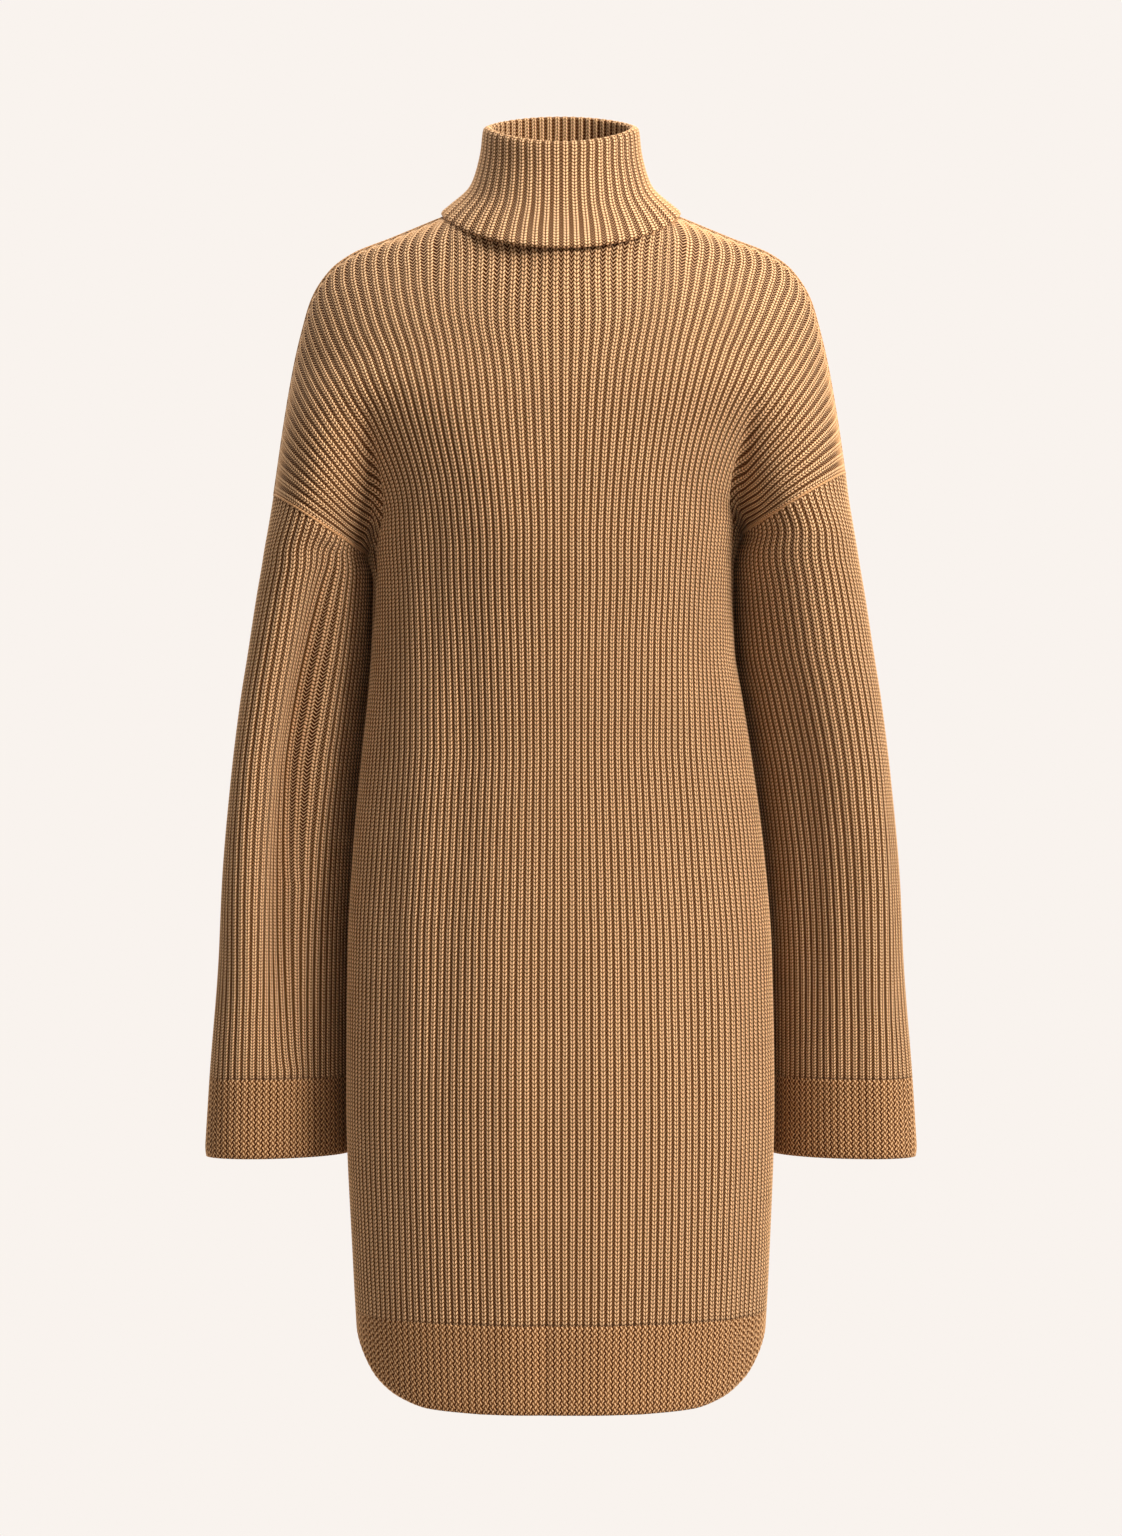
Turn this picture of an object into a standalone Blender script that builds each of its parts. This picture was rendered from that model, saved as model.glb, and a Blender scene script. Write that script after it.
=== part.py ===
"""Ribbed roll-neck sweater dress, hollow, in the pose in which it is worn.

The tables are in millimetres and the meshes in metres.  -Y is the front, +X is the side on the
right as seen from the front, and +Z is up.  The origin lies midway between the two points where
the shoulder seams meet the neck.

Every piece is one wall.  Its outer side has a ridge for each knitted rib and its inner side is
plain; on the roll neck the ribbed side is the one that shows once the neck is folded over.
"""
import bmesh
import bpy
import numpy as np

MM = 0.001
RIBS_PANEL = 78          # ribs across the front, and as many across the back
RIBS_NECK = 26           # of them, the ribs that end at the neckline
RIBS_SLEEVE = 60
INNER_STEP = 2           # ribs to one column of the plain inner side
WALL = 2.3               # cloth between a groove and the inner side
RIB = 1.1                # height of a rib above its grooves
BAND_RIB = 0.8           # the same on the hem and cuff bands
SEAM = 0.15              # each piece stops this far from a seam
FINE = 400               # points along a curve before it is divided into ribs
CORNER_REACH = 0.45      # how far the corner beside the neck is rounded in the rows below it
ARMHOLE_PARTS = 15       # equal parts of each half of an armhole
# Rows of a panel, in those parts from the top down; 15 is the underarm row and 30 the hem seam.
CHEST_ROWS = (0, 3, 5.5, 8, 11.5)
ARM_ROWS = (0, 3, 5.5, 7, 8, 9.5, 11.5, 13.5)
EDGE_ROWS = (0, 3, 5.5, 7, 8, 9.5, 10.5, 11.5, 12.5, 13.5, 14, 14.5)
BODY_ROWS = (15, 17.5, 23.5, 30)
SIDE_ROWS = (15, 15.4, 17.5, 23.5, 30)
ARM_RIBS = 16            # ribs beside each armhole and side seam that have the closer rows
CORNER_RIBS = 4          # ribs on each side of the neck's corner where the inner columns lie closer
SLEEVE_ROWS = (0, 0.04, 0.45, 1)
HEM_HALF = 212.0         # length of one half of the hem

NECK_SIDE = 84.0         # half width of the neckline
NECK_SIDE_Z = 6.2
NECK_DIP = 1.2           # how straight the neckline runs down from the shoulder seam
UNDERARM_MIDDLE = -246.0 # height of the underarm row on the middle line
HEM_SEAM = -825.5        # height of the seam between the dress and its hem band
CUFF_SEAM = -650.0
CUFF_EDGE = -710.0
NECK_GATHER = 0.054      # how much closer the ribs lie at the middle of the neckline
UNDERARM_SPREAD = 0.9    # how the underarm row's points run out from the middle
UNDERARM_RISE = 4.0      # how far the underarm row rises before it dips to the underarm
UNDERARM_DIP = 0.92      # share of its ribs at which that dip starts
WEB_RISE = (9.0, 0.5)    # depth of the cloth between chest and arm, by height over the underarm
MERGED, PARTED = -105.0, -175.0   # arm and chest are one shape above, and two below
UNION = 6                # how sharply arm, chest and web meet
ARM_FADE = (0.85, 1.0)   # panel rows between which the arm's bulge in the chest fades out
EVEN_ROW = 0.35          # panel row from which the ribs lie nearly evenly
LEVEL_ROW = 1.15         # panel row from which the rows are level
TAIL = 10                # half ribs at the underarm that run straight to the armhole
TAIL_ROWS = (0.7, 0.95)  # panel rows between which they become straight
FOLD_ENDS = 0.7          # how bluntly a fold ends
CUT_ROUNDS = 12          # steps that find where a sloping seam cuts the arm
TURN_STEP = 1e-3         # step along a curve that gives its direction
KNIT_COLOUR = (0.50, 0.305, 0.155, 1.0)


def table(names, *rows):
    """Named columns, from a row for each section."""
    return dict(zip(names.split(), np.array(sorted(rows), dtype=float).T))


# The outline from the front, and the depth and roundness of level sections of the shoulders.
SHOULDERS = table(
    "z side front back round",
    (12, 72, 91, 76, 1.3),
    (6.2, 84, 92, 77, 1.3),
    (0, 99, 93, 80, 1.3),
    (-12, 128, 95, 84, 1.3),
    (-24, 158, 96, 88, 1.3),
    (-36.5, 175, 99, 91, 1.35),
    (-59, 189.6, 104, 96, 1.55),
    (-82, 196.5, 108, 100, 1.75),
    (-105, 202, 111, 103, 1.9),
    (-150, 210, 115, 106, 2.15),
    (-191, 216, 116, 107, 2.2),
    (-219, 220, 116, 107, 2.2),
    (-242, 223, 115, 106, 2.2),
)

# Level sections of the chest, waist, hips and hem: half widths and depths.
BODY = table(
    "z left right front back round",
    (-105, 190, 188, 112, 104, 2.2),
    (-140, 172, 168, 114, 106, 2.25),
    (-163, 162, 156, 115, 107, 2.3),
    (-195, 150, 142, 116, 107, 2.3),
    (-226, 144, 133, 115, 106, 2.3),
    (-258, 141, 130, 113, 104, 2.25),
    (-290, 142, 130, 109, 100, 2.2),
    (-325, 144, 132, 105, 96, 2.2),
    (-363, 147, 138, 102, 92, 2.2),
    (-401, 151, 144, 100, 91, 2.2),
    (-477, 158, 154, 102, 96, 2.2),
    (-553, 162, 160, 106, 103, 2.2),
    (-667, 163, 162, 109, 108, 2.2),
    (-789, 158, 158, 108, 106, 2.2),
    (-891, 152, 152, 104, 103, 2.2),
)

# Level sections of the arms: their outer and inner reach, depth, centre and backward lean.
ARMS = table(
    "z outer inner_left inner_right depth y lean",
    (-105, 202, 96, 90, 64, 0, 0),
    (-150, 210, 120, 112, 71, 0, 0),
    (-191, 216, 132, 124, 76, 0, 0),
    (-208, 218, 136, 129, 77, 0, 0),
    (-237, 222.3, 147, 140, 76.5, 0, 0.02),
    (-253, 225.0, 151, 137, 75, 0.5, 0.05),
    (-270, 227.8, 147, 133, 73.5, 3, 0.14),
    (-287, 230.7, 143.2, 131.2, 72, 6, 0.22),
    (-325, 236.5, 144.2, 132.2, 69.5, 9, 0.27),
    (-363, 242.5, 147.5, 138, 67, 12, 0.29),
    (-424, 250.0, 153, 147.5, 64, 15, 0.31),
    (-500, 257.0, 158, 156, 60, 18, 0.32),
    (-561, 260.0, 160, 159, 57, 20, 0.34),
    (-652, 267.5, 161, 160, 54, 23, 0.35),
    (-711, 271.5, 161, 160, 52, 25, 0.35),
)

# How much wider than even the ribs lie at the middle of a row, above and below the underarm row.
LOOSE = table(
    "row loose",
    (0, 0), (0.6, 0.1), (0.85, 0.07), (0.9, 0.02), (0.95, -0.07), (1, -0.07),
    (1.001, 0.11), (1.03, 0.07), (1.08, 0.08), (1.25, -0.04), (1.5, 0), (2, 0),
)

# The ends of each armhole seam: on top of the arm and under it.
ARMHOLES = {
    "left": {"sign": -1, "top": (217.9, -208.0), "under": (151.0, -253.0)},
    "right": {"sign": 1, "top": (216.0, -191.0), "under": (140.0, -237.0)},
}

# How much an armhole's wall leans up (degrees), by the share of the way from the top to the under.
ARMHOLE_LIFT = table("turn lift", (0, 8), (0.5, 0), (0.85, -18), (1, -90))

# The hem's lower edge, by the distance along the cloth from the side seam.
HEM_EDGE = table(
    "along z",
    (0, -838), (14, -844.5), (27, -853), (55, -872), (80, -883), (108, -889.5), (150, -891.5),
)

# The roll neck in profile at the side, the front and the back, from the neckline up the inner leg,
# over the fold and down to the free edge: distance from the middle, and height.
ROLL = table(
    "row side side_z front front_z back back_z gather",
    (1, 73.5, 11.0, 82.5, -18.0, 67.5, 17.0, 0.045),
    (2, 54.0, 31.0, 66.0, 10.0, 52.0, 46.0, 0.03),
    (4, 52.2, 71.0, 63.5, 50.0, 44.8, 86.0, 0.013),
    (5, 58.8, 72.0, 70.5, 50.0, 51.5, 86.8, 0.013),
    (6, 61.6, 52.0, 74.0, 30.0, 58.5, 62.0, 0.03),
    (7, 69.0, 28.0, 82.0, 5.0, 70.5, 37.0, 0.055),
    (8, 83.5, 14.5, 95.0, -18.0, 81.0, 17.5, 0.08),
    (9, 92.0, 7.8, 103.5, -31.0, 88.0, 6.0, 0.095),
)
NECKLINE = {"front": (94.0, -26.0), "back": (78.0, 6.0)}
# How far the neckline's wall faces away from the neck, and up, at the side, front and back.
NECKLINE_FACING = {"side": (0.40, 0.92), "front": (0.88, 0.47), "back": (0.80, 0.60)}

# The largest folds: on which piece, where across it at the top and bottom, from and to which
# share of its length, and how deep and wide (a share of the piece).
FOLDS = (
    {"piece": "sleeve_left", "across": (0.315, 0.335), "along": (0.02, 0.62), "deep": 9, "wide": 0.045},
    {"piece": "sleeve_right", "across": (0.33, 0.36), "along": (0.10, 0.95), "deep": 4, "wide": 0.05},
    {"piece": "front", "across": (-0.33, -0.45), "along": (0.95, 1.85), "deep": 3.5, "wide": 0.09},
    {"piece": "front", "across": (0.42, 0.50), "along": (1.20, 2.00), "deep": 3.0, "wide": 0.08},
    {"piece": "back", "across": (0.30, 0.40), "along": (1.00, 1.80), "deep": 4.0, "wide": 0.10},
    {"piece": "back", "across": (-0.40, -0.30), "along": (1.30, 2.00), "deep": 3.0, "wide": 0.09},
)


def at(sections, name, key):
    """A column's value at a key of the first column, by a cubic that never overshoots."""
    x, y = next(iter(sections.values())), sections[name]
    step = np.diff(x)
    rise = np.diff(y) / step
    slope = np.zeros_like(y)
    same = rise[:-1] * rise[1:] > 0
    before, after = 2 * step[1:] + step[:-1], step[1:] + 2 * step[:-1]
    safe = np.where(same, rise[:-1] * rise[1:], 1.0)
    mean = (before + after) * safe / (before * rise[1:] + after * rise[:-1] + (~same))
    slope[1:-1] = np.where(same, mean, 0.0)
    slope[0], slope[-1] = rise[0], rise[-1]
    key = np.clip(key, x[0], x[-1])
    i = np.clip(np.searchsorted(x, key) - 1, 0, len(x) - 2)
    t = (key - x[i]) / step[i]
    bend = (slope[i] * (1 - t) - slope[i + 1] * t) * step[i] + rise[i] * step[i] * (2 * t - 1)
    return y[i] + rise[i] * step[i] * t + t * (1 - t) * bend


def smooth(t):
    t = np.clip(t, 0.0, 1.0)
    return t * t * (3 - 2 * t)


def unit(vectors):
    return vectors / np.linalg.norm(vectors, axis=-1, keepdims=True)


def rounded(share, power):
    """Height of a rounded section of unit width and height at a share of its half width."""
    return (1 - np.minimum(np.abs(share), 1.0) ** power) ** (1 / power)


def along(line):
    """Share of its length at each point of a line."""
    length = np.concatenate(([0.0], np.cumsum(np.linalg.norm(np.diff(line, axis=0), axis=1))))
    return length / length[-1]


def divide(line, shares):
    """Points at given shares of a line's length."""
    length = along(line)
    return np.stack([np.interp(shares, length, line[:, i]) for i in range(line.shape[1])], axis=1)


def arm_span(side, z):
    """Centre and half width of an arm's level section, before it leans."""
    outer, inner = at(ARMS, "outer", z), at(ARMS, "inner_" + side, z)
    return (outer + inner) / 2, (outer - inner) / 2


def arm_point(side, z, angle):
    """Points of an arm's section: angle 0 on the outside, a quarter turn on to the front."""
    centre, half = arm_span(side, z)
    depth, lean = at(ARMS, "depth", z), at(ARMS, "lean", z)
    back = -depth * np.sin(angle)
    width = np.sqrt(half ** 2 - (lean * depth) ** 2)
    x = centre + width * np.cos(angle) - lean * back
    return np.stack([x, at(ARMS, "y", z) + back, z + 0 * angle], axis=-1)


def armhole_angles(side):
    """Angles and points once round an armhole, where its sloping seam cuts the arm."""
    (top_x, top_z), (under_x, under_z) = ARMHOLES[side]["top"], ARMHOLES[side]["under"]
    angle = np.linspace(0, 2 * np.pi, 4 * FINE + 1)
    z = top_z + (under_z - top_z) * (1 - np.cos(angle)) / 2
    for _ in range(CUT_ROUNDS):
        x = arm_point(side, z, angle)[:, 0]
        z = top_z + (under_z - top_z) * (top_x - x) / (top_x - under_x)
    return angle, arm_point(side, z, angle)


def armhole(side, turns):
    """Points, outward directions and angles at shares of the way round an armhole."""
    angle, ring = armhole_angles(side)
    share = along(ring)
    angle = np.interp(turns, share, angle)
    points = np.stack([np.interp(turns, share, ring[:, i]) for i in range(3)], axis=1)
    centre, half = arm_span(side, points[:, 2])
    flat = unit(np.stack([np.cos(angle) / half, -np.sin(angle) / at(ARMS, "depth", points[:, 2])], axis=1))
    half_turn = 1 - np.abs(1 - 2 * np.asarray(turns))
    lift = np.radians(at(ARMHOLE_LIFT, "lift", half_turn))
    facing = np.stack([flat[:, 0] * np.cos(lift), flat[:, 1] * np.cos(lift), np.sin(lift)], axis=1)
    return points, facing, angle


def cloth_depth(side, face, x, z, row):
    """How far the cloth lies before or behind the plane of the side and shoulder seams."""
    whole = at(SHOULDERS, face, z) * rounded(x / at(SHOULDERS, "side", z), at(SHOULDERS, "round", z))
    chest = at(BODY, face, z) * rounded(x / at(BODY, side, z), at(BODY, "round", z))
    centre, half = arm_span(side, z)
    first, last = ARM_FADE
    kept = 1 - smooth((row - first) / (last - first))
    arm = at(ARMS, "depth", z) * rounded((x - centre) / half, 2) * kept
    rise, power = WEB_RISE
    web = rise * np.maximum(z - ARMHOLES[side]["under"][1], 0.0) ** power
    web = web * rounded(np.maximum(x - centre, 0) / half, 2) * kept
    parted = (chest ** UNION + arm ** UNION + web ** UNION + 1e-9) ** (1 / UNION)
    share = smooth((z - MERGED) / (PARTED - MERGED))
    return whole + (parted - whole) * share


def neck_turn(share):
    """Angle from the middle of the front, at a share of the ribs from there to the side."""
    return np.pi / 2 * (share - NECK_GATHER * np.sin(np.pi * share))


def neckline(face, angle):
    """Neckline points on one side, from the middle of the front or back to the shoulder seam."""
    depth, low = NECKLINE[face]
    z = NECK_SIDE_Z + (low - NECK_SIDE_Z) * np.cos(angle) ** NECK_DIP
    return np.stack([NECK_SIDE * np.sin(angle), depth * np.cos(angle), z], axis=1)


def soften(line, reach):
    """A line with its corners rounded over a reach of points; its ends stay where they are."""
    before, after = 2 * line[:1] - line[reach:0:-1], 2 * line[-1:] - line[-2:-reach - 2:-1]
    weights = np.hanning(2 * reach + 3)[1:-1]
    whole = np.concatenate([before, line, after])
    return np.stack([np.convolve(axis, weights / weights.sum(), "valid") for axis in whole.T], axis=1)


def shares_of_ribs():
    """Share of the way from the middle to the side of each half rib on one half of a panel."""
    return np.linspace(0, 1, RIBS_PANEL + 1)


def top_edge(side, face):
    """Neckline and shoulder seam of one half of a panel, a point at each half rib."""
    neck = neckline(face, neck_turn(np.linspace(0, 1, RIBS_NECK + 1)))
    z = np.linspace(NECK_SIDE_Z, ARMHOLES[side]["top"][1], FINE)
    seam = np.stack([at(SHOULDERS, "side", z), 0 * z, z], axis=1)
    seam = divide(seam, np.linspace(0, 1, RIBS_PANEL - RIBS_NECK + 1))
    return np.concatenate([neck, seam[1:]])


def chest_height(face, share):
    """Height on the middle line, at a share of the way from the neckline to underarm level."""
    return NECKLINE[face][1] + (UNDERARM_MIDDLE - NECKLINE[face][1]) * share


def underarm_line(side):
    """Seen from the front, the line from the middle to the underarm, by share of the ribs."""
    share = shares_of_ribs()
    x_end, z_end = ARMHOLES[side]["under"]
    x = x_end * np.sin(share * np.pi / 2) ** UNDERARM_SPREAD
    dip = UNDERARM_RISE * smooth((share - UNDERARM_DIP) / (1 - UNDERARM_DIP))
    z = UNDERARM_MIDDLE + (z_end + UNDERARM_RISE - UNDERARM_MIDDLE) * smooth(share) - dip
    return np.stack([x, z], axis=1)


def rib_shares(row, first):
    """Where the ribs lie along a row: at the top as `first`, lower down nearly evenly."""
    even = shares_of_ribs()
    loose = np.interp(row, LOOSE["row"], LOOSE["loose"])
    spread = even + loose * even * (1 - even)
    return first + (spread - first) * smooth(row / EVEN_ROW)


def upper_row(side, face, row):
    """One row of half a panel above the underarm, from the middle to the armhole seam."""
    top, low = top_edge(side, face), underarm_line(side)
    if row == 0:
        return top
    end = armhole(side, [row / 2 if face == "front" else 1 - row / 2])[0][0]
    middle = np.array([0.0, chest_height(face, row)])
    fine, ribs = np.linspace(0, 1, FINE), shares_of_ribs()
    upper = np.stack([np.interp(fine, ribs, top[:, i]) for i in (0, 2)], axis=1)
    upper = soften(upper, 1 + int(CORNER_REACH * FINE * row))
    lower = np.stack([np.interp(fine, ribs, low[:, i]) for i in (0, 1)], axis=1)
    s = fine[:, None]
    first, last = ((1 - row) * upper[i] + row * lower[i] for i in (0, -1))
    flat = (1 - row) * upper + row * lower + (1 - s) * (middle - first) + s * (end[[0, 2]] - last)
    depth = cloth_depth(side, face, flat[:, 0], flat[:, 1], row)
    line = np.stack([flat[:, 0], depth, flat[:, 1]], axis=1)
    line[-1] = np.abs(end) * (1, 1, -1)
    line = divide(line, rib_shares(row, along(top)))
    straight = np.linspace(line[-1 - TAIL], line[-1], TAIL + 1)
    start, end_row = TAIL_ROWS
    line[-1 - TAIL:] += (straight - line[-1 - TAIL:]) * smooth((row - start) / (end_row - start))
    return line


def lower_row(side, face, row):
    """One row of half a panel below the underarm, from the middle to the side seam."""
    z = UNDERARM_MIDDLE + (HEM_SEAM - UNDERARM_MIDDLE) * (row - 1)
    return body_row(side, face, z, rib_shares(row, shares_of_ribs()), row)


def body_row(side, face, z, shares, row=2.0):
    """A level half section of the body, or one that still follows the underarm line."""
    turn = np.linspace(0, np.pi / 2, FINE)
    power = 2 / at(BODY, "round", z)
    width, depth = at(BODY, side, z), at(BODY, face, z)
    oval = np.stack([width * np.sin(turn) ** power, depth * np.cos(turn) ** power], axis=1)
    oval = divide(oval, shares) / (width, depth)
    kept = 1 - smooth((row - 1) / (LEVEL_ROW - 1))
    height = z + (underarm_line(side)[:, 1] - UNDERARM_MIDDLE) * kept
    width, depth = at(BODY, side, height), at(BODY, face, height)
    return np.stack([oval[:, 0] * width, oval[:, 1] * depth, height], axis=1)


def fold_depth(piece, across, row):
    """How deep the folds of a piece press its cloth in."""
    deep = 0.0
    for fold in FOLDS:
        if fold["piece"] != piece:
            continue
        first, last = fold["along"]
        way = np.clip((row - first) / (last - first), 0, 1)
        centre = fold["across"][0] + (fold["across"][1] - fold["across"][0]) * way
        shape = np.exp(-((across - centre) / fold["wide"]) ** 2)
        deep = deep + fold["deep"] * shape * np.sin(np.pi * way) ** FOLD_ENDS
    return deep


def panel_row(face, row):
    """A row right across the front or back, without its folds: a point at each half rib."""
    halves = []
    for side in ("left", "right"):
        half = upper_row(side, face, row) if row <= 1 else lower_row(side, face, row)
        halves.append(half * (ARMHOLES[side]["sign"], -1 if face == "front" else 1, 1))
    return np.concatenate([halves[0][::-1], halves[1][1:]])


def panel_across():
    return np.linspace(-1, 1, 2 * RIBS_PANEL + 1)


def facing_of(before, after, line):
    """Directions square to a row, from the rows before and after it and its own run."""
    return unit(np.cross(after - before, np.gradient(line, axis=0)))


def panel_facing(face, row):
    """Outward directions on a panel's row; the underarm row faces as the rows just under it."""
    small = 0.004
    row = 1 + small if row == 1 else row
    low = max(row - small, small / 4 if row < 1 else 1 + small / 4)
    high = min(row + small, 1.0) if row < 1 else row + small
    facing = facing_of(panel_row(face, low), panel_row(face, high), panel_row(face, row))
    facing = facing * (1 if face == "front" else -1)
    return unit(facing * (1, 1, 0)) if row == 2 else facing


def top_facing(side, face):
    """Outward directions along the neckline and the shoulder seam of one half of a panel."""
    angle = neck_turn(np.linspace(0, 1, RIBS_NECK + 1))
    neck = neckline_facing(face, angle)
    seam = top_edge(side, face)[RIBS_NECK:]
    run = unit(np.gradient(seam, axis=0))
    facing = np.stack([-run[:, 2], 0 * run[:, 0], run[:, 0]], axis=1)
    return np.concatenate([neck, facing[1:]])


def neckline_facing(face, angle):
    """Outward directions of the neckline's wall on one side."""
    middle = np.cos(angle)[:, None] ** 2
    beside, before = np.array(NECKLINE_FACING["side"]), np.array(NECKLINE_FACING[face])
    out, up = np.split(beside + (before - beside) * middle, 2, axis=1)
    turn = angle[:, None]
    return unit(np.concatenate([out * np.sin(turn), out * np.cos(turn), up], axis=1))


def neckline_seam(face, angle):
    """Directions across the neckline seam on one side, towards the dress."""
    before, after = np.maximum(angle - TURN_STEP, 0), np.minimum(angle + TURN_STEP, np.pi / 2)
    run = neckline(face, after) - neckline(face, before)
    return unit(np.cross(neckline_facing(face, angle), run))


def armhole_edge(side, turns):
    """Points, facings and seam directions round an armhole, straight from row to row."""
    corners = np.array(ARM_ROWS + (ARMHOLE_PARTS,)) / ARMHOLE_PARTS / 2
    corners = np.concatenate([corners, 1 - corners[-2::-1]])
    points, facing, _ = armhole(side, corners)
    before, after = (corners - TURN_STEP) % 1.0, (corners + TURN_STEP) % 1.0
    run = armhole(side, after)[0] - armhole(side, before)[0]
    towards_body = unit(np.cross(run, facing))
    every = np.concatenate([points, facing, towards_body], axis=1)
    every = np.stack([np.interp(turns, corners, column) for column in every.T], axis=1)
    return every[:, 0:3], unit(every[:, 3:6]), unit(every[:, 6:9])


def sleeve_points(side, row, turns, end=CUFF_SEAM):
    """Points round a sleeve at a share of the way from the armhole to a level below it."""
    ring, _, angle = armhole(side, turns)
    level = np.linspace(0, 2 * np.pi, 2 * FINE + 1)
    even = np.interp(turns, along(arm_point(side, end, level)), level)
    height = ring[:, 2] + (end - ring[:, 2]) * row
    return arm_point(side, height, angle + (even - angle) * row)


def sleeve_facing(side, row, turns):
    """Outward directions round a sleeve."""
    small = 0.01
    up, down = sleeve_points(side, row - small, turns), sleeve_points(side, row + small, turns)
    before = sleeve_points(side, row, (np.asarray(turns) - TURN_STEP) % 1.0)
    after = sleeve_points(side, row, (np.asarray(turns) + TURN_STEP) % 1.0)
    return unit(np.cross(up - down, after - before))


def roll_points(row, quarter, face):
    """One row of the roll neck from the middle of a face to the side, a point at each share."""
    angle = np.pi / 2 * (quarter - at(ROLL, "gather", row) * np.sin(np.pi * quarter))
    dip = np.cos(angle) ** NECK_DIP
    side, side_z = at(ROLL, "side", row), at(ROLL, "side_z", row)
    height = side_z + (at(ROLL, face + "_z", row) - side_z) * dip
    return np.stack([side * np.sin(angle), at(ROLL, face, row) * np.cos(angle), height], axis=1)


def ring_of(quarter_points):
    """A closed ring, from a function that gives one quarter of it for the front or the back."""
    front, back = quarter_points("front"), quarter_points("back")
    right = np.concatenate([front * (1, -1, 1), back[-2::-1]])
    left = right[-2:0:-1] * (-1, 1, 1)
    return np.concatenate([right, left])


def roll_row(row, quarter):
    return ring_of(lambda face: roll_points(row, quarter, face))


def ring_facing(before, after, ring):
    """Outward directions on a closed ring, from the rings before and after it."""
    run = np.roll(ring, -1, axis=0) - np.roll(ring, 1, axis=0)
    return unit(np.cross(after - before, run))


def ridges(count, height=RIB):
    """How far each half-rib column lies under the tops of the ribs."""
    return np.where(np.arange(count) % 2 == 0, height, 0.0)[:, None]


class Wall:
    """The points and faces of one closed wall."""

    def __init__(self):
        self.points = []
        self.faces = []

    def add(self, points, shares, closed=False):
        """Add a row of points, and return it as pairs of share and index."""
        first = len(self.points)
        self.points.extend(np.asarray(points, dtype=float).tolist())
        row = [(float(share), first + i) for i, share in enumerate(shares)]
        return row + [(1.0, first)] if closed else row

    def join(self, row, other):
        """Fill between two rows, which may have different numbers of points."""
        i = j = 0
        while i < len(row) - 1 or j < len(other) - 1:
            next_row = row[i + 1][0] if i < len(row) - 1 else np.inf
            next_other = other[j + 1][0] if j < len(other) - 1 else np.inf
            corner = [row[i][1], other[j][1]]
            if next_other <= next_row + 1e-6:
                j += 1
                corner.append(other[j][1])
            if next_row <= next_other + 1e-6:
                i += 1
                corner.append(row[i][1])
            self.faces.append(corner)

    def join_all(self, rows):
        for row, other in zip(rows, rows[1:]):
            self.join(row, other)

    def build(self, name):
        """The wall as a named object, with its faces turned outward."""
        mesh = bpy.data.meshes.new(name)
        shape = bmesh.new()
        corners = [shape.verts.new([value * MM for value in point]) for point in self.points]
        for face in self.faces:
            shape.faces.new([corners[i] for i in face])
        bmesh.ops.recalc_face_normals(shape, faces=shape.faces)
        shape.to_mesh(mesh)
        shape.free()
        mesh.materials.append(knit_material(name))
        bpy.context.scene.collection.objects.link(bpy.data.objects.new(name, mesh))


def knit_material(name):
    material = bpy.data.materials.new(name + "_knit")
    material.use_nodes = True
    shader = material.node_tree.nodes["Principled BSDF"]
    shader.inputs["Base Color"].default_value = KNIT_COLOUR
    shader.inputs["Roughness"].default_value = 0.9
    return material


def before_seam(points, face):
    """Keep a front or back piece on its own side of the side and shoulder seams."""
    if face == "front":
        return np.minimum(points, (np.inf, -SEAM, np.inf))
    return np.maximum(points, (-np.inf, SEAM, -np.inf))


def panel_end(face, side, row):
    """Point and facing at the end of a panel's row: on the armhole seam or on the side seam."""
    outward = (ARMHOLES[side]["sign"], 1, 1)
    if row > 1:
        half = lower_row(side, face, row)[-1]
        return half * outward, np.array([1.0, 0.0, 0.0]) * outward
    turn = row / 2 if face == "front" else 1 - row / 2
    point, facing, towards_body = (value[0] for value in armhole_edge(side, [turn]))
    return (point + towards_body * SEAM) * outward, facing * outward


def panel_surfaces(face, row):
    """The ribbed outer points and the plain inner points of one row of a panel."""
    line = panel_row(face, row)
    facing = top_row_facing(face) if row == 0 else panel_facing(face, row)
    line = line - facing * fold_depth(face, panel_across(), row)[:, None]
    if row == 0:
        line = line + top_row_seam(face)
    if row == 2:
        line = line + (0, 0, SEAM)
    reach = np.linspace(0, 1, TAIL + 1)[1:, None]
    for side, tail in (("left", slice(TAIL - 1, None, -1)), ("right", slice(-TAIL, None))):
        end, end_facing = panel_end(face, side, row)
        facing[tail] = unit(facing[tail] * (1 - smooth(reach)) + end_facing * smooth(reach))
        line[0 if side == "left" else -1] = end
    if row == 2:
        line[[0, -1], 2] += SEAM
    outer = before_seam(line - facing * ridges(len(line)), face)
    inner = before_seam(line - facing * (RIB + WALL), face)
    return outer, inner


def panel_columns(inner):
    """The half-rib columns of a panel's side that have points, and the rows of each."""
    last, arm = RIBS_PANEL, RIBS_PANEL - 2 * ARM_RIBS
    columns = {}
    for column in range(-last, last + 1):
        place = abs(column)
        rows = CHEST_ROWS + BODY_ROWS
        if place > arm:
            rows = (EDGE_ROWS if place >= last - 1 else ARM_ROWS) + SIDE_ROWS
        close = place > arm or abs(place - RIBS_NECK) <= 2 * CORNER_RIBS
        step = 1 if not inner else 2 if close else 2 * INNER_STEP
        if (place - (place >= RIBS_NECK) * RIBS_NECK) % step == 0 or place == arm + 1:
            columns[column] = rows
    return columns


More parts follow.
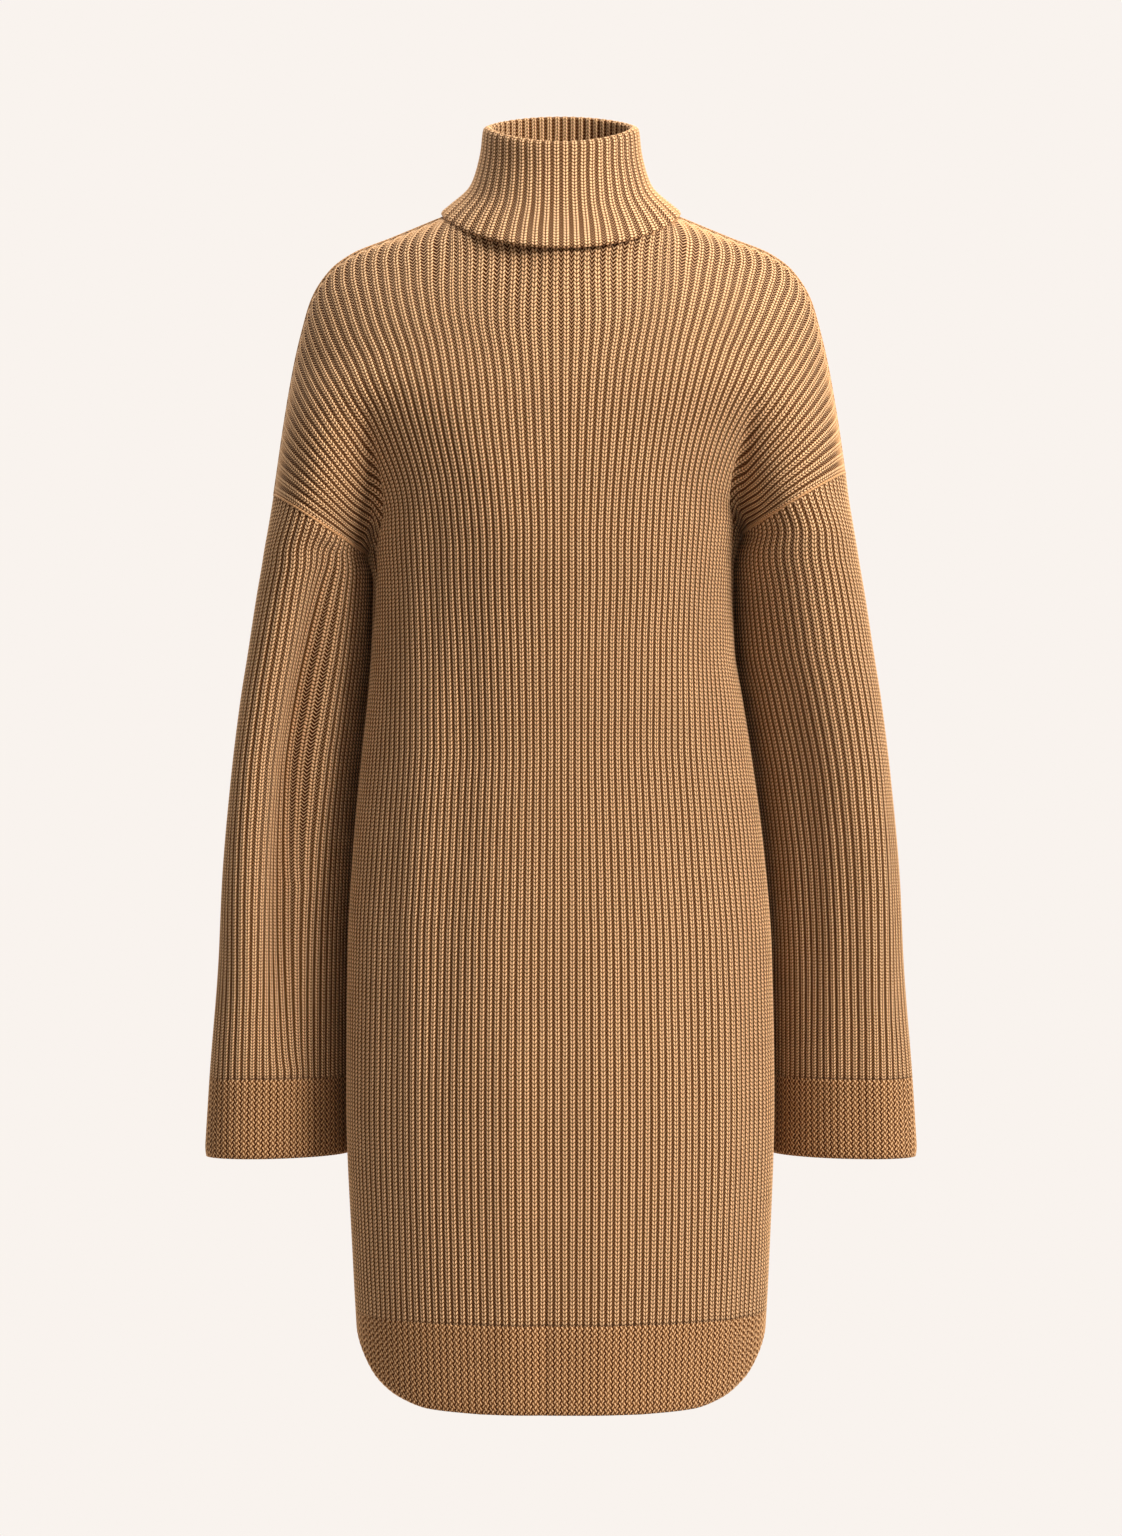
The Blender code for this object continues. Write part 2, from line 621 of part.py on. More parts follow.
def build_panel(face):
    """The front or the back, from the neckline and shoulder seams to the hem seam."""
    wall = Wall()
    last = RIBS_PANEL
    surfaces = {}
    for part in EDGE_ROWS + SIDE_ROWS:
        surfaces[part] = panel_surfaces(face, part / ARMHOLE_PARTS)
    tops, ends, bottoms = [], [], []
    for side in (0, 1):
        columns = panel_columns(inner=side == 1)
        top = wall.add(surfaces[0][side], panel_across())
        grid = []
        for column, parts in columns.items():
            points = [surfaces[part][side][column + last] for part in parts[1:]]
            grid.append(wall.add(points, parts[1:]))
        wall.join(top, [(column / last, line[0][1]) for column, line in zip(columns, grid)])
        wall.join_all(grid)
        tops.append(top)
        ends.append([[(0.0, top[end][1])] + grid[end] for end in (0, -1)])
        bottoms.append([(column / last, line[-1][1]) for column, line in zip(columns, grid)])
    wall.join(*tops)
    wall.join(*bottoms)
    for outer, inner in zip(*ends):
        wall.join(outer, inner)
    wall.build(face)


def top_row_facing(face):
    outward = (-1, -1, 1) if face == "front" else (-1, 1, 1)
    left = top_facing("left", face)[::-1] * outward
    right = top_facing("right", face) * (1, outward[1], 1)
    return np.concatenate([left, right[1:]])


def top_row_seam(face):
    """How far the points of a panel's top row step back from the neckline seam."""
    shift = np.zeros((RIBS_PANEL + 1, 3))
    angle = neck_turn(np.linspace(0, 1, RIBS_NECK + 1))
    shift[:RIBS_NECK + 1] = neckline_seam(face, angle) * SEAM * (1, -1 if face == "front" else 1, 1)
    return np.concatenate([shift[::-1] * (-1, 1, 1), shift[1:]])


def build_hem(face):
    """The band along the hem of the front or back, with its rounded corners."""
    wall = Wall()
    across, shares = panel_across(), shares_of_ribs()
    rows = []
    for edge in (False, True):
        halves = []
        for side, at_side in ARMHOLES.items():
            top = body_row(side, face, HEM_SEAM - SEAM, shares)
            if edge:
                height = at(HEM_EDGE, "z", (1 - shares) * HEM_HALF)
                scale = [at(BODY, name, height) / at(BODY, name, HEM_SEAM) for name in (side, face)]
                top = np.stack([top[:, 0] * scale[0], top[:, 1] * scale[1], height], axis=1)
            halves.append(top * (at_side["sign"], -1 if face == "front" else 1, 1))
        rows.append(np.concatenate([halves[0][::-1], halves[1][1:]]))
    run = np.gradient(rows[0], axis=0)
    facing = unit(np.stack([run[:, 1], -run[:, 0], 0 * run[:, 0]], axis=1)) * (1 if face == "front" else -1)
    facing[0], facing[-1] = (-1, 0, 0), (1, 0, 0)
    columns = np.arange(0, 2 * RIBS_PANEL + 1, 2 * INNER_STEP)
    outer, inner = [], []
    for line in rows:
        outer.append(wall.add(before_seam(line - facing * ridges(len(line), BAND_RIB), face), across))
        plain = before_seam(line - facing * (RIB + WALL), face)[columns]
        inner.append(wall.add(plain, across[columns]))
    wall.join(*outer)
    wall.join(*inner)
    for end in (0, 1):
        wall.join(outer[end], inner[end])
    for end in (0, -1):
        wall.faces.append([outer[0][end][1], outer[1][end][1], inner[1][end][1], inner[0][end][1]])
    wall.build("hem_" + face)


def tube(name, outer_rows, inner_rows):
    """A closed wall round a tube, from rows of shares and points for its outer and inner sides."""
    wall = Wall()
    surfaces = []
    for rows in (outer_rows, inner_rows):
        added = []
        for shares, points in rows:
            added.append(wall.add(points, shares, closed=True))
        wall.join_all(added)
        surfaces.append(added)
    for end in (0, -1):
        wall.join(surfaces[0][end], surfaces[1][end])
    wall.build(name)


def build_sleeve(side):
    """A sleeve, from its sloping armhole seam to the seam of its cuff."""
    name, sign = "sleeve_" + side, ARMHOLES[side]["sign"]
    turns = np.arange(2 * RIBS_SLEEVE) / (2 * RIBS_SLEEVE)
    outer, inner = [], []
    for row in SLEEVE_ROWS:
        line, facing = sleeve_points(side, row, turns), sleeve_facing(side, row, turns)
        if row == 0:
            line, facing, towards_body = armhole_edge(side, turns)
            line = line - towards_body * SEAM
        if row == SLEEVE_ROWS[-1]:
            line = line + (0, 0, SEAM)
            facing = unit(facing * (1, 1, 0))
        line = line - facing * fold_depth(name, turns, row)[:, None]
        step = 2 if row == 0 else 2 * INNER_STEP
        outer.append((turns, (line - facing * ridges(len(line))) * (sign, 1, 1)))
        inner.append((turns[::step], (line - facing * (RIB + WALL))[::step] * (sign, 1, 1)))
    tube(name, outer, inner)


def build_cuff(side):
    """The band at the end of a sleeve."""
    sign = ARMHOLES[side]["sign"]
    turns = np.arange(2 * RIBS_SLEEVE) / (2 * RIBS_SLEEVE)
    outer, inner = [], []
    for end in (CUFF_SEAM - SEAM, CUFF_EDGE):
        line, facing = sleeve_points(side, 1.0, turns, end), sleeve_facing(side, 1.0, turns)
        facing = unit(facing * (1, 1, 0))
        step = 2 * INNER_STEP
        outer.append((turns, (line - facing * ridges(len(line), BAND_RIB)) * (sign, 1, 1)))
        inner.append((turns[::step], (line - facing * (RIB + WALL))[::step] * (sign, 1, 1)))
    tube("cuff_" + side, outer, inner)


def build_collar():
    """The roll neck: one wall up from the neckline, over the fold and down to its free edge."""
    quarter = np.linspace(0, 1, RIBS_NECK + 1)
    angle = neck_turn(quarter)
    base = ring_of(lambda face: neckline(face, angle) - neckline_seam(face, angle) * SEAM)
    base_facing = ring_of(lambda face: neckline_facing(face, angle))
    turns = np.arange(len(base)) / len(base)
    plain = [i for i in range(len(base)) if i % RIBS_NECK % (2 * INNER_STEP) == 0]
    hidden = [(turns, base)]
    shown = [(turns, base - base_facing * (WALL + RIB - ridges(len(base))))]
    small = 0.05
    for row in ROLL["row"]:
        line = roll_row(row, quarter)
        facing = ring_facing(roll_row(row - small, quarter), roll_row(row + small, quarter), line)
        shown.append((turns, line - facing * ridges(len(line))))
        hidden.append((turns[plain], (line - facing * (RIB + WALL))[plain]))
    tube("collar", shown, hidden)


def main():
    for obj in list(bpy.data.objects):
        bpy.data.objects.remove(obj)
    for face in ("front", "back"):
        build_panel(face)
        build_hem(face)
    for side in ARMHOLES:
        build_sleeve(side)
        build_cuff(side)
    build_collar()


main()
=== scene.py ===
"""Finish of a ribbed roll-neck sweater dress, hollow, in the pose in which it is worn.

The tables are in millimetres and the meshes in metres.  -Y is the front, +X is the side on the
right as seen from the front, and +Z is up.  Each piece of the dress is a thin shell with every
rib of the knit on its outer side.  Its UV map counts ribs across and courses of stitches upwards,
and its material draws the stitches from that count.
"""
import functools
import math

import bmesh
import bpy
import numpy as np
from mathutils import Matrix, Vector


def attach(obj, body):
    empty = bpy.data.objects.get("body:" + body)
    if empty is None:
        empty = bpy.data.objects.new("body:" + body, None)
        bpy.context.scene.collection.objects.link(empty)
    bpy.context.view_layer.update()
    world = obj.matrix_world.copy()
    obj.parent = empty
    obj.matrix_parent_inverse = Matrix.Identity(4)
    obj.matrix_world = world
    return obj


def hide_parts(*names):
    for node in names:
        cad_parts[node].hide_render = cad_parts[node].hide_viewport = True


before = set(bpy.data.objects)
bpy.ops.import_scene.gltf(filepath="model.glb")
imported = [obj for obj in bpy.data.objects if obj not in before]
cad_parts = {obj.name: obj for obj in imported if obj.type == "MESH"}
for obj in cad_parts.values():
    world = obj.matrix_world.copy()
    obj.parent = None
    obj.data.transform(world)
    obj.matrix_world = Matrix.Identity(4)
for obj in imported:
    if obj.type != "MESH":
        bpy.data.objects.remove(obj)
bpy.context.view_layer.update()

bl_info = {
    "name": "Ribbed roll-neck sweater dress",
    "version": (1, 0, 0),
    "blender": (4, 5, 0),
    "location": "3D View > Sidebar > Knitwear",
    "description": "Makes the knitted pieces of a sweater dress and a studio for it",
    "category": "Object",
}

BODY_NAME = "root"
MM = 0.001
COLUMNS = 4                    # points across one rib
PANEL_RIBS = 78
HALF_PANEL = PANEL_RIBS // 2 * COLUMNS     # columns from the middle of a panel to its side
NECK_RIBS = 52
QUARTER_NECK = NECK_RIBS // 4 * COLUMNS    # columns of half a panel that end at the neckline
SLEEVE_RIBS = 60
UPPER_ROWS, LOWER_ROWS = 62, 150           # rows of points on a panel above and below the underarm
SLEEVE_TOP_ROWS, SLEEVE_ROWS = 6, 116
ROLL_ROWS = 84
HEM_ROWS, CUFF_ROWS = 24, 22
SEAM = 0.05                    # each piece stops this far from a seam
FLANK = (0.22, 0.6)            # how far a rib's flanks lie under its crest, closed and pulled open
FLATTER = 0.45                 # how much lower the ribs are where the knit is pulled open
EDGE_ROUND = (0.36, 0.17, 0.05)            # how far a free edge's last rows of points draw together
FINE = 900                     # points along a curve before it is divided into ribs
FOLD_ROW, FOLD_REACH = 4.5, 0.55       # rows of the roll neck at which it folds over
FOLD_SMOOTH = 0.6              # how much lower its ribs are there
CORNER_REACH = 0.45            # how far the corner beside the neck is rounded in the rows below it
HEM_HALF = 212.0               # length of one half of the hem

NECK_SIDE = 84.0               # half width of the neckline
NECK_SIDE_Z = 6.2
NECK_DIP = 1.2                 # how straight the neckline runs down from the shoulder seam
NECK_GATHER = 0.054            # how much closer the ribs lie at the middle of the neckline
UNDERARM_MIDDLE = -246.0       # height of the underarm row on the middle line
UNDERARM_SPREAD = 0.9          # how the underarm row's points run out from the middle
UNDERARM_RISE = 4.0            # how far the underarm row rises before it dips to the underarm
UNDERARM_DIP = 0.92            # share of its ribs at which that dip starts
HEM_SEAM = -825.5              # height of the seam between the dress and its hem band
CUFF_SEAM = -650.0
CUFF_EDGE = -710.0
WEB_RISE = (7.0, 0.5)          # depth of the cloth between chest and arm, by height over the underarm
MERGED, PARTED = -105.0, -175.0    # arm and chest are one shape above, and two below
UNION, TINY = 6, 1e-9          # how sharply arm, chest and web meet, and what keeps their root off zero
ARM_REACH = 10.0               # distance beside an arm over which its bulge dies out
ARM_FADE = (0.85, 1.0)         # panel rows between which the arm's bulge in the chest fades out
EVEN_ROW = 0.35                # panel row from which the ribs lie nearly evenly
LEVEL_ROW = 1.15               # panel row from which the rows are level
TOP_BLEND = 0.15               # panel rows in which the facing of the shoulder seam dies out
SIDE_BLEND = 0.042             # panel rows in which the underarm passes into the side seam
BELOW_UNDERARM = 1.001         # first panel row of the side seams
SLEEVE_TOP = 0.04              # share of a sleeve in which the facing of its seam dies out
LAST_ROWS = 0.1                # panel rows in which the cloth's edge turns level above the hem
SLIDE = 9                      # rows each way over which the ribs' way past the underarm is evened
SLIDE_ROWS = (0.5, 0.7, 1.15, 1.35)        # panel rows between which this fades in, and out again
SLIDE_COLUMNS = (0.60, 0.86)   # from where to where towards the side it fades out
TAIL = 5 * COLUMNS             # columns at the underarm that run straight to the armhole
TAIL_ROWS = (0.7, 0.95)        # panel rows between which they become straight
FOLD_ENDS = 0.7                # how bluntly a fold ends
CUT_ROUNDS = 12                # steps that find where a sloping seam cuts the arm
TURN_STEP = 1e-3               # step along a curve that gives its direction
SLEEVE_STEP, ROLL_STEP = 0.01, 0.05    # steps down a sleeve and along the roll neck that give theirs
CLOSED_PITCH, OPEN_PITCH = 5.8, 9.0    # rib pitches at which the knit is closed and fully open
ROLL_PULL = 0.6                # how far the double cloth of the roll neck lets its ribs part
ROLL_COURSE, BAND_COURSE, CUFF_COURSE = 2.6, 2.17, 2.05    # distance between courses of stitches
RIDGE_SIDES = 8                # points round a seam's ridge
LINK_STITCH = 3.2              # length of one stitch along a seam
RIDGE_STEPS = 3                # points along a seam for each rib of a sleeve

# How the material draws the stitches.
RIB_HALF = (0.71, 0.54)        # half width of a rib, closed and pulled open, as a share of half its pitch
LEG_PLACE, LEG_HALF = 0.5, 0.54            # middle and half width of each column of stitches, across a rib
LEG_SLANT = 0.7                # courses by which a stitch rises from the middle of the rib to its edge
LEG_GAP, STITCH_END = 0.12, 0.62           # shade between two stitches, and how soon they round off
RIB_EDGE = (1.08, 0.88)        # share of its half width at which a rib has ended, and is still whole
PURL_SLANT = 0.8               # courses by which a purl stitch rises across the groove
PURL_START, PURL_END = 0.45, 1.0           # where on its course a purl stitch begins, and is lightest
PURL_CLOSED, PURL_OPEN = 0.5, 1.0          # how light the purl stitches are: darker with painted shade where the closed ribs hide them, and in full view
BUMP_SWAY, GROOVE_SWAY = 0.05, 0.11        # how far bumps and grooves of the moss stitch waver, in ribs
BUMPS = 3                      # bumps of moss stitch across one rib
BUMP_LOW, BUMP_HIGH = 0.22, 0.72           # shade between the bumps and on them
BUMP_EDGE = (1.25, 0.1)        # how far from its middle a bump has ended, and is still at its lightest
GROOVE_WIDTH, GROOVE_SHADE = 0.3, 0.1      # width and shade of the grooves between the columns of bumps
BUMP_SHORT = 1.35              # how much shorter than its two courses a bump is
SEAM_GAP, SEAM_LIGHT = 0.38, 0.6           # shade between the linked stitches and on them
HAND_SCALE, HAND_ACROSS, HAND_UP = 35.0, 0.12, 0.9     # unevenness of the knit, in ribs and in courses
FIBRE_SCALE, FIBRE, FIBRE_RELIEF = 1500.0, 0.45, 0.25  # fineness, shade and relief of the fibres
CLOUD_SCALE, CLOUD = 14.0, 0.12            # size and strength of the cloudy dye
SOFT_DETAIL, FIBRE_DETAIL = 2.0, 3.0       # finer layers in the soft patterns and in the fibres
DARK_STOP, MID_STOP, LIGHT_STOP = 0.16, 0.45, 0.86     # shades at which the yarn's three colours lie
FUZZ_SPREAD, YARN_GLOSS = 0.3, 0.06        # how far the fuzz's sheen spreads, and the yarn's own shine
RIM_START, RIM_SHEEN, RIM_LIGHT = 0.55, 0.85, 0.78           # painted sheen: cloth seen edge on is painted lighter, where loose fibres would hide the gaps

# The studio, in metres and watts.
DRESS_MIDDLE = (0.0, 0.0, -0.42)
LIGHTS = {                     # the place, size and colour of each light
    "key": ((2.3, -1.9, 1.2), 1.3, (1.0, 0.97, 0.93)),
    "fill": ((-2.2, -1.6, 0.2), 1.6, (1.0, 1.0, 1.0)),
    "top": ((0.2, -0.3, 2.0), 1.2, (1.0, 1.0, 1.0)),
    "back": ((-1.4, 2.6, 0.9), 1.6, (1.0, 1.0, 1.0)),
}
CAMERA_PLACE, CAMERA_LENS, CAMERA_SENSOR = (0.0, -3.2, -0.415), 98.7, 36.0     # lens and sensor in mm
FLOOR_Z, FLOOR_RADIUS, FLOOR_SIDES = -1.25, 1.25, 96
FLOOR_SHADE, FLOOR_ROUGHNESS = 0.72, 0.9   # the floor's paint as a share of the backdrop's colour


def table(names, *rows):
    """Named columns, from a row for each section."""
    return dict(zip(names.split(), np.array(sorted(rows), dtype=float).T))


# The outline from the front, and the depth and roundness of level sections of the shoulders.
SHOULDERS = table(
    "z side front back round",
    (12, 72, 91, 76, 1.3),
    (6.2, 84, 92, 77, 1.3),
    (0, 99, 93, 80, 1.3),
    (-12, 128, 95, 84, 1.3),
    (-24, 158, 96, 88, 1.3),
    (-36.5, 175, 99, 91, 1.35),
    (-59, 189.6, 104, 96, 1.55),
    (-82, 196.5, 108, 100, 1.75),
    (-105, 202, 111, 103, 1.9),
    (-150, 210, 115, 106, 2.15),
    (-191, 216, 116, 107, 2.2),
    (-219, 220, 116, 107, 2.2),
    (-242, 223, 115, 106, 2.2),
)

# Level sections of the chest, waist, hips and hem: half widths and depths.
BODY = table(
    "z left right front back round",
    (-105, 190, 188, 112, 104, 2.2),
    (-140, 172, 168, 114, 106, 2.25),
    (-163, 162, 156, 115, 107, 2.3),
    (-195, 150, 142, 116, 107, 2.3),
    (-226, 144, 133, 115, 106, 2.3),
    (-258, 142, 131.2, 113, 104, 2.25),
    (-290, 142.8, 130.8, 109, 100, 2.2),
    (-325, 144, 132, 105, 96, 2.2),
    (-363, 147, 138, 102, 92, 2.2),
    (-401, 151, 144, 100, 91, 2.2),
    (-477, 158, 154, 102, 96, 2.2),
    (-553, 162, 160, 106, 103, 2.2),
    (-667, 163, 162, 109, 108, 2.2),
    (-789, 158, 158, 108, 106, 2.2),
    (-891, 152, 152, 104, 103, 2.2),
)

# Level sections of the arms: their outer and inner reach, depth, centre and backward lean.
ARMS = table(
    "z outer inner_left inner_right depth y lean",
    (-105, 202, 96, 90, 64, 0, 0),
    (-150, 210, 120, 112, 71, 0, 0),
    (-191, 216, 132, 124, 76, 0, 0),
    (-208, 218, 136, 129, 77, 0, 0.01),
    (-237, 222.3, 144.5, 137.5, 76.5, 1.6, 0.06),
    (-253, 225.0, 147.0, 132.2, 75, 3.6, 0.09),
    (-262, 226.4, 144.6, 131.2, 74.2, 4.9, 0.105),
    (-270, 227.8, 143.4, 131.3, 73.5, 6.0, 0.12),
    (-287, 230.7, 143.2, 131.3, 72, 8.2, 0.15),
    (-325, 236.5, 144.4, 132.4, 69.5, 11.4, 0.205),
    (-363, 242.5, 147.5, 138, 67, 13.6, 0.25),
    (-424, 250.0, 153, 147.5, 64, 16, 0.30),
    (-500, 257.0, 158, 156, 60, 18, 0.32),
    (-561, 260.0, 160, 159, 57, 20, 0.34),
    (-652, 267.5, 161, 160, 54, 23, 0.35),
    (-711, 271.5, 161, 160, 52, 25, 0.35),
)

# How much wider than even the ribs lie at the middle of a row, above and below the underarm row.
LOOSE = table(
    "row loose",
    (0, 0), (0.4, 0.066), (0.5, 0.11), (0.6, 0.149), (0.7, 0.161), (0.8, 0.129), (0.85, 0.104),
    (0.9, 0.072), (0.95, -0.031), (1, -0.038), (1.001, 0.094), (1.04, 0.08), (1.08, 0.076),
    (1.16, 0.038), (1.27, -0.03), (1.5, 0), (2, 0),
)

# Which way the front and the back look along Y.
FACES = {"front": -1, "back": 1}

# The ends of each armhole seam: on top of the arm and under it.
ARMHOLES = {
    "left": {"sign": -1, "top": (217.9, -208.0), "under": (147.0, -253.0)},
    "right": {"sign": 1, "top": (216.0, -191.0), "under": (137.5, -237.0)},
}

# How much an armhole's wall leans up (degrees), by the share of the way from the top to the under.
ARMHOLE_LIFT = table("turn lift", (0, 8), (0.5, 0), (0.85, -18), (1, -90))

# The hem's lower edge, by the distance along the cloth from the side seam.
HEM_EDGE = table(
    "along z",
    (0, -838), (14, -844.5), (27, -853), (55, -872), (80, -883), (108, -889.5), (150, -891.5),
)

# The roll neck in profile at the side, the front and the back, from the neckline up the inner leg,
# over the fold and down to the free edge: distance from the middle, and height.
ROLL = table(
    "row side side_z front front_z back back_z gather",
    (1, 73.5, 11.0, 82.5, -18.0, 67.5, 17.0, 0.045),
    (2, 54.0, 31.0, 66.0, 10.0, 52.0, 46.0, 0.03),
    (4, 52.2, 70.0, 63.5, 49.3, 44.8, 85.5, 0.013),
    (4.5, 55.4, 73.0, 67.0, 51.6, 48.2, 87.6, 0.013),
    (5, 58.8, 71.0, 70.5, 49.3, 51.5, 85.8, 0.013),
    (6, 61.6, 52.0, 74.0, 30.0, 58.5, 62.0, 0.03),
    (7, 69.0, 28.0, 82.0, 5.0, 70.5, 37.0, 0.055),
    (8, 83.5, 14.5, 95.0, -18.0, 81.0, 17.5, 0.08),
    (9, 92.0, 7.8, 103.5, -31.0, 88.0, 6.0, 0.095),
)

# How far the neckline lies from the middle of the neck, and how high, at the front and back.
NECKLINE = {"front": (94.0, -26.0), "back": (78.0, 6.0)}

# How far the neckline's wall faces away from the neck, and up, at the side, front and back.
NECKLINE_FACING = {"side": (0.40, 0.92), "front": (0.88, 0.47), "back": (0.80, 0.60)}

# The largest folds of each piece: where across it at the top and bottom, from and to which row
# (a share of a sleeve), and how deep (in millimetres) and wide (a share of the piece).
FOLDS = {
    "sleeve_left": (
        ((0.315, 0.335), (0.02, 0.64), 9, 0.028),
        ((0.292, 0.300), (0.02, 0.98), 24, 0.050),
    ),
    "sleeve_right": (
        ((0.33, 0.36), (0.10, 0.95), 4, 0.05),
    ),
    "front": (
        ((-0.33, -0.45), (0.95, 1.85), 3.5, 0.09),
        ((0.42, 0.50), (1.20, 2.00), 3.0, 0.08),
        ((-0.60, -0.92), (0.50, 1.12), 5.0, 0.03),
        ((0.62, 0.92), (0.48, 1.10), 5.0, 0.03),
    ),
    "back": (
        ((-0.58, -0.90), (0.45, 1.10), 4.0, 0.03),
        ((0.60, 0.91), (0.42, 1.10), 4.5, 0.03),
        ((0.30, 0.40), (1.00, 1.80), 4.0, 0.10),
        ((-0.40, -0.30), (1.30, 2.00), 3.0, 0.09),
    ),
}

# Small soft troughs, and ridges where the depth is negative, in the same terms as the folds.
CREASES = {
    "front": (
        ((-0.05, -0.07), (1.90, 2.14), 1.6, 0.025),
        ((-0.16, -0.19), (1.55, 2.20), -2.2, 0.07),
        ((0.12, 0.15), (1.40, 2.25), -1.8, 0.08),
        ((-0.66, -0.58), (1.25, 1.95), 2.2, 0.07),
        ((0.20, 0.17), (0.80, 1.20), 1.8, 0.07),
        ((-0.44, -0.50), (0.86, 1.22), 2.0, 0.06),
        ((-0.28, -0.20), (0.55, 1.05), -2.6, 0.12),
        ((0.66, 0.60), (1.05, 1.60), 1.8, 0.06),
        ((0.74, 0.70), (1.45, 2.12), 2.0, 0.06),
    ),
    "back": (
        ((0.04, 0.10), (0.20, 0.95), 2.4, 0.09),
        ((-0.62, -0.50), (0.75, 1.30), 2.6, 0.07),
        ((0.66, 0.52), (0.80, 1.45), 2.2, 0.06),
        ((-0.08, -0.02), (1.25, 2.20), 2.4, 0.08),
        ((0.18, 0.22), (1.60, 2.25), -2.2, 0.08),
        ((0.70, 0.74), (1.50, 2.15), 2.2, 0.06),
        ((-0.72, -0.64), (1.35, 2.10), 2.0, 0.05),
    ),
    "sleeve_left": (
        ((0.17, 0.19), (0.03, 0.85), -2.6, 0.05),
        ((0.25, 0.23), (0.35, 1.10), 2.6, 0.035),
        ((0.39, 0.36), (0.45, 1.15), 2.4, 0.03),
        ((0.68, 0.64), (0.03, 0.70), 5.0, 0.045),
        ((0.82, 0.80), (0.30, 1.10), 2.8, 0.05),
        ((0.98, 1.00), (0.40, 1.05), 1.8, 0.04),
    ),
    "sleeve_right": (
        ((0.20, 0.17), (0.05, 0.90), -2.4, 0.06),
        ((0.12, 0.14), (0.30, 1.12), 2.0, 0.03),
        ((0.27, 0.25), (0.45, 1.20), 2.2, 0.03),
        ((0.66, 0.69), (0.03, 0.60), 4.6, 0.05),
        ((0.80, 0.84), (0.25, 1.15), 2.8, 0.045),
    ),
}

# Distance between courses of stitches, by panel row and by share of a sleeve.
COURSES = table("row pitch", (0, 3.8), (0.15, 3.3), (0.3, 2.85), (0.6, 2.85), (2, 2.93))
SLEEVE_COURSES = table("row pitch", (0, 3.1), (0.3, 2.8), (0.7, 2.5), (1, 2.25))


def at(sections, name, key):
    """A column's value at a key of the first column, by a cubic that never overshoots."""
    x, y = next(iter(sections.values())), sections[name]
    step = np.diff(x)
    rise = np.diff(y) / step
    slope = np.zeros_like(y)
    same = rise[:-1] * rise[1:] > 0
    before, after = 2 * step[1:] + step[:-1], step[1:] + 2 * step[:-1]
    safe = np.where(same, rise[:-1] * rise[1:], 1.0)
    mean = (before + after) * safe / (before * rise[1:] + after * rise[:-1] + (~same))
    slope[1:-1] = np.where(same, mean, 0.0)
    slope[0], slope[-1] = rise[0], rise[-1]
    key = np.clip(key, x[0], x[-1])
    i = np.clip(np.searchsorted(x, key) - 1, 0, len(x) - 2)
    t = (key - x[i]) / step[i]
    bend = (slope[i] * (1 - t) - slope[i + 1] * t) * step[i] + rise[i] * step[i] * (2 * t - 1)
    return y[i] + rise[i] * step[i] * t + t * (1 - t) * bend


def smooth(value, start=0.0, end=1.0):
    """A soft step from 0 at the start to 1 at the end."""
    t = np.clip((value - start) / (end - start), 0.0, 1.0)
    return t * t * (3 - 2 * t)


def unit(vectors):
    """Vectors drawn to a length of one."""
    return vectors / np.linalg.norm(vectors, axis=-1, keepdims=True)


def rounded(share, power):
    """Height of a rounded section of unit width and height at a share of its half width."""
    return (1 - np.minimum(np.abs(share), 1.0) ** power) ** (1 / power)


def lengths(line):
    """Length along a line at each of its points."""
    return np.concatenate([[0.0], np.cumsum(np.linalg.norm(np.diff(line, axis=0), axis=1))])


def along(line):
    """Share of its length at each point of a line."""
    length = lengths(line)
    return length / length[-1]


def between(places, known, line):
    """Points of a line at some places, from those at known places."""
    return np.stack([np.interp(places, known, axis) for axis in line.T], axis=1)


def divide(line, shares):
    """Points at given shares of a line's length."""
    return between(shares, along(line), line)


def running_mean(lines, reach):
    """Mean over a reach of points each way, with most weight in its middle, down each column."""
    weights = np.hanning(2 * reach + 3)[1:-1]
    return np.stack([np.convolve(line, weights / weights.sum(), "valid") for line in lines.T], axis=1)


def arm_span(side, z):
    """Centre and half width of an arm's level section, before it leans."""
    outer, inner = at(ARMS, "outer", z), at(ARMS, "inner_" + side, z)
    return (outer + inner) / 2, (outer - inner) / 2


def arm_point(side, z, angle):
    """Points of an arm's section: angle 0 on the outside, a quarter turn on to the front."""
    centre, half = arm_span(side, z)
    depth, lean = at(ARMS, "depth", z), at(ARMS, "lean", z)
    back = -depth * np.sin(angle)
    width = np.sqrt(half ** 2 - (lean * depth) ** 2)
    x = centre + width * np.cos(angle) - lean * back
    return np.stack([x, at(ARMS, "y", z) + back, z + 0 * angle], axis=-1)


@functools.cache
def armhole_angles(side):
    """Angles and points once round an armhole, where its sloping seam cuts the arm."""
    (top_x, top_z), (under_x, under_z) = ARMHOLES[side]["top"], ARMHOLES[side]["under"]
    angle = np.linspace(0, 2 * np.pi, 4 * FINE + 1)
    z = top_z + (under_z - top_z) * (1 - np.cos(angle)) / 2
    for _ in range(CUT_ROUNDS):
        x = arm_point(side, z, angle)[:, 0]
        z = top_z + (under_z - top_z) * (top_x - x) / (top_x - under_x)
    return angle, arm_point(side, z, angle)


def armhole(side, turns):
    """Points, outward directions and angles at shares of the way round an armhole."""
    angle, ring = armhole_angles(side)
    share = along(ring)
    angle = np.interp(turns, share, angle)
    points = between(turns, share, ring)
    half = arm_span(side, points[:, 2])[1]
    flat = unit(np.stack([np.cos(angle) / half, -np.sin(angle) / at(ARMS, "depth", points[:, 2])], axis=1))
    half_turn = 1 - np.abs(1 - 2 * np.asarray(turns))
    lift = np.radians(at(ARMHOLE_LIFT, "lift", half_turn))
    facing = np.stack([flat[:, 0] * np.cos(lift), flat[:, 1] * np.cos(lift), np.sin(lift)], axis=1)
    return points, facing, angle


